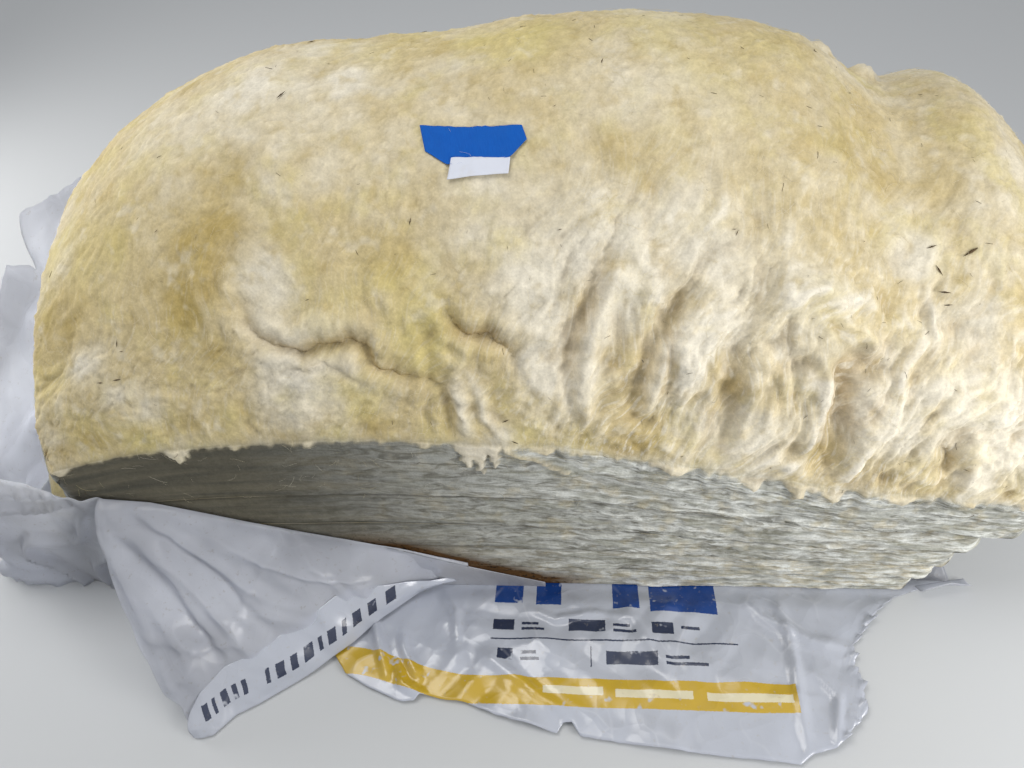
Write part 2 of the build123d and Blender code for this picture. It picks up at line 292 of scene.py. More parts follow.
# Outline of the film on the floor in front of the stack.
PANEL_BACK = [(-0.190, -0.280), (0.600, -0.280)]
PANEL_RIGHT = [
    (0.600, -0.280), (0.560, -0.292), (0.521, -0.306), (0.484, -0.337), (0.456, -0.372),
    (0.449, -0.400), (0.452, -0.429), (0.448, -0.458),
]
PANEL_FRONT = [
    (-0.214, -0.404), (-0.195, -0.428), (-0.165, -0.444), (-0.148, -0.450), (-0.118, -0.462),
    (-0.101, -0.460), (-0.094, -0.452), (-0.060, -0.458), (-0.038, -0.460), (0.000, -0.474),
    (0.040, -0.484), (0.078, -0.494), (0.086, -0.480), (0.096, -0.480), (0.106, -0.496),
    (0.180, -0.505), (0.247, -0.511), (0.320, -0.516), (0.360, -0.519), (0.376, -0.508),
    (0.404, -0.500), (0.425, -0.482), (0.448, -0.458),
]
PANEL_LEFT = [(-0.190, -0.280), (-0.200, -0.330), (-0.208, -0.370), (-0.214, -0.404)]
# Folds that stand up from the film on the floor: width, height, line on plan.
PANEL_FOLDS = [
    (0.009, 0.013, [(-0.172, -0.350), (-0.160, -0.380), (-0.140, -0.430)]),
    (0.008, 0.010, [(-0.130, -0.372), (-0.120, -0.400), (-0.098, -0.434)]),
    (0.012, 0.006, [(0.150, -0.290), (0.190, -0.370), (0.240, -0.450)]),
    (0.010, 0.007, [(0.366, -0.300), (0.375, -0.380), (0.370, -0.505)]),
    (0.009, 0.009, [(-0.130, -0.415), (-0.118, -0.440), (-0.090, -0.455)]),
    (0.010, 0.006, [(0.310, -0.290), (0.345, -0.340), (0.400, -0.370), (0.450, -0.378)]),
    (0.008, 0.005, [(0.395, -0.410), (0.420, -0.440), (0.405, -0.490)]),
    (0.010, 0.005, [(-0.020, -0.400), (0.030, -0.430), (0.100, -0.480)]),
    (0.008, 0.005, [(0.040, -0.335), (0.075, -0.350), (0.130, -0.340), (0.180, -0.346)]),
    (0.009, 0.006, [(-0.090, -0.300), (-0.060, -0.340), (-0.052, -0.400)]),
]

# Parts of the film's UV map that lie apart from the printed panel: plain film and the strip.
PLAIN_UV, STRIP_UV = 3.0, 5.0
# Plain bars and rules printed on the film: left, right, front, back on the floor, and colour.
PRINTED = [
    (-0.008, 0.030, -0.327, -0.270, "print_blue"),
    (0.048, 0.082, -0.329, -0.270, "print_blue"),
    (0.151, 0.186, -0.332, -0.270, "print_blue"),
    (0.200, 0.288, -0.337, -0.270, "print_blue"),
    (-0.300, 0.370, -0.462, -0.427, "print_yellow"),
    (-0.010, 0.308, -0.3795, -0.3775, "print_dark"),
    (0.120, 0.1215, -0.412, -0.386, "print_dark"),
    (-0.008, 0.020, -0.366, -0.350, "print_dark"),
    (0.092, 0.140, -0.366, -0.350, "print_dark"),
    (0.200, 0.228, -0.368, -0.352, "print_dark"),
    (0.030, 0.052, -0.358, -0.354, "print_dark"),
    (0.030, 0.060, -0.366, -0.362, "print_dark"),
    (0.150, 0.172, -0.359, -0.355, "print_dark"),
    (0.150, 0.180, -0.367, -0.363, "print_dark"),
    (0.238, 0.262, -0.360, -0.356, "print_dark"),
    (0.000, 0.020, -0.406, -0.391, "print_dark"),
    (0.030, 0.050, -0.398, -0.394, "print_dark"),
    (0.030, 0.054, -0.406, -0.402, "print_dark"),
    (0.140, 0.205, -0.408, -0.392, "print_dark"),
    (0.215, 0.245, -0.400, -0.396, "print_dark"),
    (0.215, 0.268, -0.408, -0.404, "print_dark"),
    (0.060, 0.135, -0.447, -0.437, "print_pale"),
    (0.150, 0.245, -0.449, -0.439, "print_pale"),
    (0.262, 0.365, -0.450, -0.440, "print_pale"),
]
# The turned-over strip's row of dark bars: where each starts and stops along the flap's foot.
STRIP_BARS = [
    (-0.440, -0.428), (-0.420, -0.414), (-0.404, -0.392), (-0.382, -0.372), (-0.362, -0.352),
    (-0.318, -0.312), (-0.303, -0.291), (-0.283, -0.274), (-0.266, -0.254), (-0.246, -0.240),
    (-0.232, -0.220), (-0.212, -0.206), (-0.198, -0.186), (-0.176, -0.164), (-0.152, -0.140),
]
STRIP_BARS_UP = (STRIP_UV + 0.016, STRIP_UV + 0.036)
# How far the ink's edges run out of true.
FRAY = 0.0004

# Edges of the tape and of the tag on the top batt: share along, X, Y.
TAPE_FRONT = [
    (0, -0.048, -0.121), (0.2, -0.026, -0.136), (0.84, 0.038, -0.134), (1, 0.054, -0.119),
]
TAPE_BACK = [(0, -0.055, -0.094), (0.5, -0.003, -0.1015), (1, 0.049, -0.106)]
TAG_FRONT = [(0, -0.025, -0.149), (1, 0.036, -0.147)]
TAG_BACK = [(0, -0.021, -0.130), (1, 0.038, -0.134)]
# How thick they are, their cells along and across, and how often their shape is smoothed.
TAPE_THICK, TAPE_CELLS = 0.0004, (54, 22)
TAG_THICK, TAG_CELLS = 0.0003, (32, 12)
SMOOTHING = 12

# Loose fibres and dirt: sizes of one sliver, then the ways that slivers are bent: how far each
# half bows sideways, and how high.
HAIR_SIZES = {
    "length": 0.018, "radius": 0.00024, "low": 0.5, "high": 1.4, "tilt": 0.22, "sides": 3,
}
HAIR_BENDS = [(0.25, 0.25, 0.06), (0.30, -0.28, 0.05), (-0.12, 0.30, 0.10), (0.05, -0.1, 0.12)]
DIRT_SIZES = {
    "length": 0.006, "radius": 0.00055, "low": 0.25, "high": 1.4, "tilt": 0.15, "sides": 5,
}
DIRT_BENDS = [(0.10, -0.06, 0.05), (-0.12, -0.05, 0.04), (0.02, 0.03, 0.02)]
DIRT = (0.020, 0.012, 0.006)
HALF_TURN = 3.1416
# A splinter of straw: its faces, its width and thickness to its length, and how high it lies.
SPLINTER_FACES = [
    (0, 3, 4), (3, 1, 4), (1, 2, 4), (2, 0, 4), (3, 0, 5), (1, 3, 5), (2, 1, 5), (0, 2, 5),
]
SPLINTER_WIDE, SPLINTER_THICK, SPLINTER_LIFT = 0.07, 0.05, 0.0012

# Seeds: the first batt's (each batt above it has the next), the film's, the fibres', the dirt's.
WOOL_SEED, FILM_SEED, HAIR_SEED, DIRT_SEED = 40, 7, 11, 23

# The stage: half the floor's width, how far it lies under the bag, and the lamps: name, place,
# width, share of the lamp overhead's power.
FLOOR_REACH, FLOOR_DROP = 6.0, 0.0005
LAMPS = [
    ("lamp_over", (-0.60, -0.05, 2.35), 1.3, 1.0),
    ("lamp_right", (1.45, -1.05, 0.75), 0.8, 0.90),
    ("lamp_left", (-1.85, 0.30, 0.55), 0.9, 0.70),
]
LAMPS_AIM = (0, 0, 0.25)
# The way to the right in the camera's view, before it leans.
CAMERA_LEVEL = (0.9929, 0.1190, 0.0)
SENSOR_WIDTH = 36.0


def colour_setting(name, text, value):
    """A colour that a user may change."""
    return FloatVectorProperty(name=name, description=text, default=value, subtype="COLOR", size=3)


def length_setting(name, text, value):
    """A length that a user may change."""
    return FloatProperty(name=name, description=text, default=value, unit="LENGTH")


class WoolSettings(bpy.types.PropertyGroup):
    columns: IntProperty(name="Columns", description="Cells along a batt", default=350, min=40)
    rows: IntProperty(name="Rows", description="Cells across a batt", default=210, min=20)
    relief: length_setting("Relief", "Height of the soft lumps", 0.006)
    cream: colour_setting("Cream", "Colour of the skin", (0.575, 0.478, 0.275))
    pale: colour_setting("Pale", "Colour of the pale patches", (0.750, 0.700, 0.585))
    yellow: colour_setting("Yellow", "Colour of the yellow patches", (0.610, 0.520, 0.220))
    ochre: colour_setting("Ochre", "Colour of the old stains", (0.430, 0.325, 0.115))
    # Painted shade: the colour that darkens the skin down in its creases and low lumps.
    hollow_shade: colour_setting("Hollow", "Colour down in the creases", (0.400, 0.295, 0.150))
    # The cut edges' dark base is partly painted shade over the front face. The pale tufts that
    # lighten it towards the right are partly real tearing and partly painted light.
    cut: colour_setting("Cut", "Colour of the cut edges", (0.090, 0.086, 0.068))
    cut_pale: colour_setting(
        "Cut, pale", "Colour of the cut edges' pale tufts", (0.720, 0.735, 0.700))
    cut_warm: colour_setting("Cut, warm", "Colour of the lowest cut edges", (0.560, 0.480, 0.310))
    smear: colour_setting("Smear", "Colour of the torn edges' grey smears", (0.250, 0.250, 0.195))
    damp: colour_setting("Damp", "Colour of the damp stain over the lip", (0.085, 0.042, 0.014))
    fibres: FloatProperty(
        name="Fibres", description="Loose fibres to a square metre", default=4500.0)
    specks: FloatProperty(
        name="Specks", description="Bits of dirt and straw to a square metre", default=420.0)


class FilmSettings(bpy.types.PropertyGroup):
    thickness: length_setting("Thickness", "Thickness of the film as modelled", 0.0009)
    crumple: length_setting("Crumple", "Height of the crumples", 0.006)
    sheer: FloatProperty(
        name="Sheer", description="Share of the light that plain film lets through", default=0.68)
    white: colour_setting("White", "Colour of the film", (0.850, 0.865, 0.910))
    grey: colour_setting("Grey", "Colour of the film where it is thin", (0.560, 0.570, 0.610))
    # The printed film's colour is set darker than the plain film's, partly as painted shade over
    # the panel on the floor.
    backed_and_shaded: colour_setting("Backed", "Colour of the printed film", (0.500, 0.530, 0.610))
    print_blue: colour_setting("Blue", "Colour of the blue bars", (0.006, 0.050, 0.240))
    print_yellow: colour_setting("Yellow", "Colour of the yellow band", (0.560, 0.370, 0.025))
    print_pale: colour_setting(
        "Pale", "Colour of the bars on the yellow band", (0.740, 0.680, 0.480))
    print_dark: colour_setting("Dark", "Colour of the thin rules", (0.020, 0.030, 0.070))


class TapeSettings(bpy.types.PropertyGroup):
    tape_gap: length_setting("Tape gap", "Room between the wool and the tape", 0.0012)
    tag_gap: length_setting("Tag gap", "Room between the wool and the tag", 0.0030)
    tape_blue: colour_setting("Tape", "Colour of the tape", (0.004, 0.090, 0.430))
    tape_worn: colour_setting("Tape, worn", "Colour of the tape's ridges", (0.008, 0.135, 0.54))
    tag_white: colour_setting("Tag", "Colour of the tag", (0.660, 0.690, 0.780))


class StageSettings(bpy.types.PropertyGroup):
    floor: colour_setting("Floor", "Colour of the floor", (0.560, 0.575, 0.590))
    world: FloatProperty(
        name="World", description="Strength of the light from all round", default=0.50)
    lamp: FloatProperty(
        name="Lamp", description="Power of the lamp overhead, in watts", default=18.5)
    lens: FloatProperty(name="Lens", description="Focal length in millimetres", default=27.07)
    pitch: FloatProperty(
        name="Pitch", description="How far the camera looks down",
        default=math.radians(48.0), unit="ROTATION")
    roll: FloatProperty(
        name="Roll", description="How far the camera leans",
        default=math.radians(5.2), unit="ROTATION")
    eye: FloatVectorProperty(
        name="Eye", description="Where the camera stands",
        default=(0.099, -0.799, 0.979), size=3, subtype="TRANSLATION")


# ---------------------------------------------------------------- numbers


def smooth_table(x, table):
    """A table's columns at any x, on a smooth curve through its rows."""
    xs, ys = table[:, 0], table[:, 1:]
    slopes = np.gradient(ys, xs, axis=0)
    x = np.clip(x, xs[0], xs[-1])
    k = np.clip(np.searchsorted(xs, x, side="right") - 1, 0, len(xs) - 2)
    step = xs[k + 1] - xs[k]
    t = ((x - xs[k]) / step)[..., None]
    step = step[..., None]
    return (
        (2 * t**3 - 3 * t**2 + 1) * ys[k]
        + (t**3 - 2 * t**2 + t) * step * slopes[k]
        + (3 * t**2 - 2 * t**3) * ys[k + 1]
        + (t**3 - t**2) * step * slopes[k + 1]
    )


def ramp(x, low, high):
    """0 at low, 1 at high, smooth between them and level past them."""
    t = np.clip((x - low) / (high - low), 0.0, 1.0)
    return t * t * (3 - 2 * t)


def xyz(a, b, c):
    """Points with these coordinates, each of them an array or one number for all."""
    return np.stack(np.broadcast_arrays(a, b, c), axis=1)


class Noise:
    """Smooth gradient noise on points in space, the same for the same seed."""

    def __init__(self, seed):
        draw = np.random.default_rng(seed)
        self.order = np.tile(draw.permutation(256), 3)
        arrows = draw.normal(size=(256, 3))
        self.arrows = arrows / np.linalg.norm(arrows, axis=1)[:, None]

    def __call__(self, points):
        cell = np.floor(points).astype(int)
        inner = points - cell
        cell &= 255
        soft = inner**3 * (inner * (inner * 6 - 15) + 10)
        total = np.zeros(len(points))
        for corner in np.ndindex(2, 2, 2):
            i, j, k = (cell + corner).T
            arrow = self.arrows[self.order[self.order[self.order[i] + j] + k]]
            share = np.prod(np.where(corner, soft, 1 - soft), axis=1)
            total += share * ((inner - corner) * arrow).sum(1)
        return total * 1.6

    def summed(self, points, octaves, gain, form):
        """Noise of several sizes, each put into a form and added up."""
        total, size, strength = np.zeros(len(points)), 1.0, 1.0
        for _ in range(octaves):
            total += strength * form(self(points * size))
            size *= 2.03
            strength *= gain
        return total

    def rough(self, points, octaves=3, gain=0.5):
        """Soft hills and dips of several sizes."""
        return self.summed(points, octaves, gain, lambda value: value)

    def billow(self, points, octaves=3, gain=0.5):
        """Soft lumps with sharp creases between them, about 0 on average."""
        return self.summed(points, octaves, gain, lambda value: np.abs(value) * 2.2 - 0.55)

    def threads(self, points):
        """Thin ridges along the lines where the noise is 0."""
        return np.clip(1 - np.abs(self(points)) * 4, -0.3, 1)


def nearest(points, line):
    """Each point's distance from a line of points, its side, and how far along the line it is."""
    best = np.full(len(points), 1e9)
    side = np.zeros(len(points))
    along = np.zeros(len(points))
    for number, (a, b) in enumerate(zip(line, line[1:])):
        run = b - a
        t = np.clip(((points - a) @ run) / (run @ run), 0, 1)
        away = points - (a + t[:, None] * run)
        far = np.hypot(*away.T)
        closer = far < best
        best = np.where(closer, far, best)
        side = np.where(closer, np.sign(run[0] * away[:, 1] - run[1] * away[:, 0]), side)
        along = np.where(closer, (number + t) / (len(line) - 1), along)
    return best, side, along


def taper(along, end, power):
    """1 at the middle of a line and less towards both its ends, level over the end shares."""
    return np.sin(np.clip(along, end, 1 - end) * math.pi) ** power


def sharp_fold(points, width, height, line, end, power):
    """Height of a sharp fold that stands up along a line."""
    away, _, along = nearest(points, np.array(line))
    return height * np.clip(1 - away / width, 0, 1) * taper(along, end, power)


# ---------------------------------------------------------------- form of the stack


def stack_height(x, y, count):
    """Height of the top of the stack's lowest batts, as many as count."""
    front, crest, back = smooth_table(x, STATIONS).T
    place = np.clip(y / HALF_WIDTH, -1, 1)
    share = smooth_table(place, DOME)[..., 0]
    edge_part = sum(s[0] for s in SHARES[:count])
    crest_part = sum(s[1] for s in SHARES[:count])
    edge = edge_part * (front + (back - front) * (place + 1) / 2)
    height = FLOOR_OF_STACK + edge + share * (crest_part * crest - edge)
    if count == len(SHARES):
        for px, py, reach_x, reach_y, rise in SWELLS:
            spread = -(((x - px) / reach_x) ** 2) - ((y - py) / reach_y) ** 2
            height = height + rise * np.exp(spread)
    return height


# The dome's profile across the middle, and how far each of its points is from the front edge.
SKIN_PLACES = np.linspace(-1, 1, 401)
SKIN_PROFILE = stack_height(np.zeros(len(SKIN_PLACES)), SKIN_PLACES * HALF_WIDTH, len(SHARES))
SKIN_STEPS = np.hypot(np.diff(SKIN_PROFILE), np.diff(SKIN_PLACES) * HALF_WIDTH)
SKIN_RUN = np.concatenate([[0], np.cumsum(SKIN_STEPS)])


def run_at(y):
    """How far a point of the skin is from the front edge, measured up over the dome."""
    return np.interp(np.asarray(y) / HALF_WIDTH, SKIN_PLACES, SKIN_RUN)


def place_at(share):
    """Place across the stack at a share of the way over the dome, closer set at the front."""
    share = share - CLOSER_IN_FRONT * share * (1 - share)
    return np.interp(share * SKIN_RUN[-1], SKIN_RUN, SKIN_PLACES)


def along_at(share):
    """How far along a batt its columns are, closer set at the right."""
    return share + CLOSER_AT_RIGHT * share * (1 - share)


def ring_places(columns, rows):
    """Lattice places round the edge, against the clock as seen from above."""
    return (
        [(i, 0) for i in range(columns)]
        + [(columns, j) for j in range(rows)]
        + [(i, rows) for i in range(columns, 0, -1)]
        + [(0, j) for j in range(rows, 0, -1)]
    )


def batt_lattice(columns, rows, layers, fine_top):
    """Closed box of cells as shares along, across and up, and its faces. Hidden covers are
    coarse."""
    ring = ring_places(columns, rows)
    length = len(ring)
    places = [(i / columns, j / rows, k / layers) for k in range(layers + 1) for i, j in ring]
    faces = []
    for low in range(0, layers * length, length):
        for m in range(length):
            n = (m + 1) % length
            faces.append((low + m, low + n, low + length + n, low + length + m))

    def cover(step, up, outer):
        """The top or bottom of the box, with one cell to so many of the ring's."""
        across, along = rows // step, columns // step
        index = {key: outer + m for m, key in enumerate(ring)} if step == 1 else {}
        inset = 0.0 if step == 1 else COVER_INSET
        for i in range(along + 1):
            for j in range(across + 1):
                if (i, j) not in index:
                    index[i, j] = len(places)
                    a = inset + (1 - 2 * inset) * i / along
                    b = inset + (1 - 2 * inset) * j / across
                    places.append((a, b, up))
        made = [
            (index[i, j], index[i + 1, j], index[i + 1, j + 1], index[i, j + 1])
            for i in range(along)
            for j in range(across)
        ]
        if step > 1:
            half = step // 2
            inner = [index[p] for p in ring_places(along, across)]
            for c, here in enumerate(inner):
                there = inner[(c + 1) % len(inner)]
                outside = [outer + (step * c + q) % length for q in range(step + 1)]
                made += [(outside[q], outside[q + 1], here) for q in range(half)]
                made.append((outside[half], there, here))
                made += [(outside[q], outside[q + 1], there) for q in range(half, step)]
        return made if up else [f[::-1] for f in made]

    faces += cover(1 if fine_top else COVER_STEP, 1.0, layers * length)
    faces += cover(COVER_STEP, 0.0, 0)
    return np.array(places), faces


def rounded(a, b, radius):
    """Distances a and b from two meeting faces, of points on them, moved onto an arc."""
    inside = (a + b) < radius
    angle = (1 + np.clip((a + b) / radius, 0, 1)) * math.pi / 4
    near, far = radius * (1 - np.sin(angle)), radius * (1 - np.cos(angle))
    on_first = a <= b
    return (
        np.where(inside, np.where(on_first, near, far), a),
        np.where(inside, np.where(on_first, far, near), b),
    )


# ---------------------------------------------------------------- meshes


def new_piece(name, points, faces):
    """A mesh object of these points and faces, smooth, at the origin."""
    mesh = bpy.data.meshes.new(name)
    mesh.from_pydata(np.asarray(points).tolist(), [], [list(map(int, f)) for f in faces])
    mesh.shade_smooth()
    piece = bpy.data.objects.new(name, mesh)
    bpy.context.scene.collection.objects.link(piece)
    return piece


def read_vectors(vectors, key):
    """The vectors of a mesh's points or normals, as an array."""
    values = np.empty(len(vectors) * 3, np.float32)
    vectors.foreach_get(key, values)
    return values.reshape(-1, 3).astype(float)


def set_points(piece, points):
    piece.data.vertices.foreach_set("co", points.astype(np.float32).ravel())
    piece.data.update()


def set_attribute(piece, name, values):
    """A number at each point of the mesh, for the material to read."""
    layer = piece.data.attributes.new(name, "FLOAT", "POINT")
    count = len(piece.data.vertices)
    layer.data.foreach_set("value", np.array(np.broadcast_to(values, count), np.float32))


def set_uv(piece, per_point):
    """A UV map in metres from two numbers at each point."""
    mesh = piece.data
    layer = mesh.uv_layers.new(name="metres")
    corners = np.empty(len(mesh.loops), np.int32)
    mesh.loops.foreach_get("vertex_index", corners)
    layer.data.foreach_set("uv", per_point[corners].astype(np.float32).ravel())


def settle(piece):
    """Make what the piece's modifiers show into its own plain mesh."""
    shown = piece.evaluated_get(bpy.context.evaluated_depsgraph_get())
    made = bpy.data.meshes.new_from_object(shown)
    piece.modifiers.clear()
    piece.data = made
    return made


def thicken(piece, thickness, offset):
    """Give a sheet its thickness, on both sides of it at 0 and on its outer side at 1."""
    solid = piece.modifiers.new("solid", "SOLIDIFY")
    solid.thickness = thickness
    solid.offset = offset
    settle(piece)


# ---------------------------------------------------------------- batts


def patches(x, y, blots, noise):
    """Soft patches of colour on the skin, broken up at their edges."""
    run = run_at(y)
    total = np.zeros(len(x))
    for px, py, radius, strength in blots:
        away = np.hypot(x - px, run - run_at(py))
        total += strength * np.exp(-((away / radius) ** 2))
    wobble = noise.rough(xyz(x * 22, run * 22, 0.0), 3)
    return np.clip(total * (1 + 0.9 * wobble), 0, 1)


def skin_relief(x, y, noise, settings):
    """The skin's height above its smooth dome, its sideways pull, painted shade in its hollows and
    creases, pale folds and lumps that are partly pale fibre and partly painted highlight, a painted
    light and shade that follows its fine relief, how strong its threads are, and the way they run."""
    run = run_at(y)
    low = ramp(run, 0.40, 0.12)
    right = ramp(x, -0.06, 0.20)
    lowered = 0.3 + 0.7 * low
    lively = 0.20 + 0.22 * low + 0.58 * right * lowered
    strong = lively * (0.35 + 0.65 * low) * ramp(lively, 0.10, 0.60)
    calm = 1 - 0.6 * right * lowered

    sway_x, sway_run = (noise.rough(xyz(x * 9, run * 9, part), 2) * 0.03 for part in (3.1, 8.7))
    along, up = x + sway_x, run + sway_run
    across = along - 0.35 * up
    streaks = noise.billow(xyz(across * 24, up * 8, 1.7), 3, 0.55)
    lumps = noise.billow(xyz(along * 13, up * 13, 6.3), 3, 0.5)
    clumps = noise.billow(xyz(along * 62, up * 62, 5.0), 3, 0.62)
    felt = noise.rough(xyz(along * 150, up * 150, 9.0), 2, 0.6)
    wisps, thin, finest = (
        noise.threads(xyz(across * close, up * drawn_out, part))
        for close, drawn_out, part in ((46, 15, 4.4), (95, 34, 2.9), (170, 45, 7.9))
    )
    height = settings.relief * (
        0.55 * noise.rough(xyz(along * 6.5, up * 6.5, 0.0), 2)
        + lively * (0.75 * streaks * lowered + 0.8 * lumps)
        + strong * (0.42 * wisps + 0.26 * thin + 0.12 * finest)
        + 0.20 * calm * clumps
        + 0.06 * felt
    )
    # Painted light and shade: the tone is lighter on raised clumps, lumps and threads and darker on
    # low ones.
    tone = (
        0.45 * clumps * calm
        + strong * (0.5 * wisps + 0.7 * thin + 0.6 * finest)
        + 0.2 * felt
        + 0.3 * lumps * lively
    )
    lumpy = streaks * low + lumps
    # Painted shade where the lumps are low.
    hollow_shade = np.clip(-lumpy * lively - 0.25, 0, 1) * 0.55
    # Pale on raised lumps and wisps: partly pale fibre, partly painted highlight.
    pale = np.clip((lumpy + 0.6 * wisps) * (lively - 0.25) - 0.12, 0, 1) * 1.4

    pull = np.zeros(len(x))
    wander = noise.rough(xyz(x * 34, run * 34, 12.0), 2) * 0.005
    wandering = np.column_stack([x + wander, run + wander])
    for width, depth, over, white, line in FOLDS:
        line = np.array([(px, float(run_at(py))) for px, py in line])
        away, side, along_line = nearest(wandering, line)
        fading = taper(along_line, 0.03, 0.5)
        core = np.exp(-((away / width) ** 2)) * fading
        shoulder = np.exp(-(((away - 1.9 * width) / width) ** 2)) * fading
        height += -depth * core + 0.35 * abs(depth) * shoulder * (depth > 0)
        # Painted shade down in each crease.
        hollow_shade = np.maximum(hollow_shade, core * ramp(depth, 0.0, 0.02))
        # Pale along the ridges: partly pale fibre, partly painted highlight.
        pale = np.maximum(pale, white * np.exp(-((away / (1.3 * width)) ** 2)) * fading)
        if over:
            upper = np.exp(-((away / (1.8 * width)) ** 2)) * fading * (side > 0)
            pull -= over * upper
            height += 0.5 * over * upper
    for px, py, radius, rise, white in LUMPS:
        away = np.hypot(x - px, run - run_at(py)) / radius
        bulge = np.exp(-(away**4))
        height += rise * bulge
        # Pale on the lumps: partly pale fibre, partly painted highlight.
        pale = np.maximum(pale, white * bulge)
    flow = np.column_stack([across, up])
    return height, pull, hollow_shade, pale, np.clip(tone, -1, 1), strong, flow


def cut_relief(x, y, layer, number, torn, noise):
    """How far a batt's cut edges stand out, in thin sheets and torn clots, with a painted light and
    shade that follows them and painted shade in their hollows."""
    sheets = noise.rough(xyz(x * 7, layer * 90, y * 7), 2) * 0.0010
    sheets += np.clip(noise(xyz(x * 9, layer * 210, y * 9 + 6.0)) * 3, -1, 1) * 0.0005 * torn
    clots = noise.billow(xyz(x * 15, layer * 60, y * 15 + 4.0), 4, 0.55)
    swell = noise.rough(xyz(x * 3.5, number * 2.3, y * 3.5), 2) * 0.0018
    puffs = noise.billow(xyz(x * 46, layer * 120, y * 46 + 11.0), 3, 0.6)
    shift = sheets + (clots * 0.0022 + puffs * 0.0007) * torn + swell - 0.0008
    # Painted light and shade: lighter on raised clots and sheets, darker on low ones.
    tone = np.clip(0.8 * clots * (0.2 + 0.8 * torn) + sheets * 160 * torn, -1, 1)
    # Painted shade in the hollows between the torn clots.
    hollow_shade = np.clip(-clots - 0.15, 0, 1) * 0.6 * torn
    return shift, tone, hollow_shade


def overhang(x, down, front, torn, noise):
    """Where the skin's ragged edge, tufts and strand cover the front face, and how far they stand
    out from it."""
    ragged = noise.rough(xyz(x * 45, 2.0, 0.0), 4, 0.6) * (0.0025 + 0.0035 * torn) + 0.001
    hang = np.clip(ragged, 0, None)
    for px, width, depth in TUFTS:
        reach = depth * np.exp(-(((x - px + 0.002 * np.sin(down * 400)) / width) ** 2))
        hang = np.maximum(hang, reach)
    over = front * ramp(hang - down, -0.001, 0.004)
    out = over * np.minimum(0.0050, 0.001 + hang * 0.2)
    away = nearest(np.column_stack([x, down]), np.array(STRAND))[0]
    strand = front * np.exp(-((away / 0.0032) ** 2))
    return np.maximum(over, strand), np.maximum(out, 0.0045 * strand)


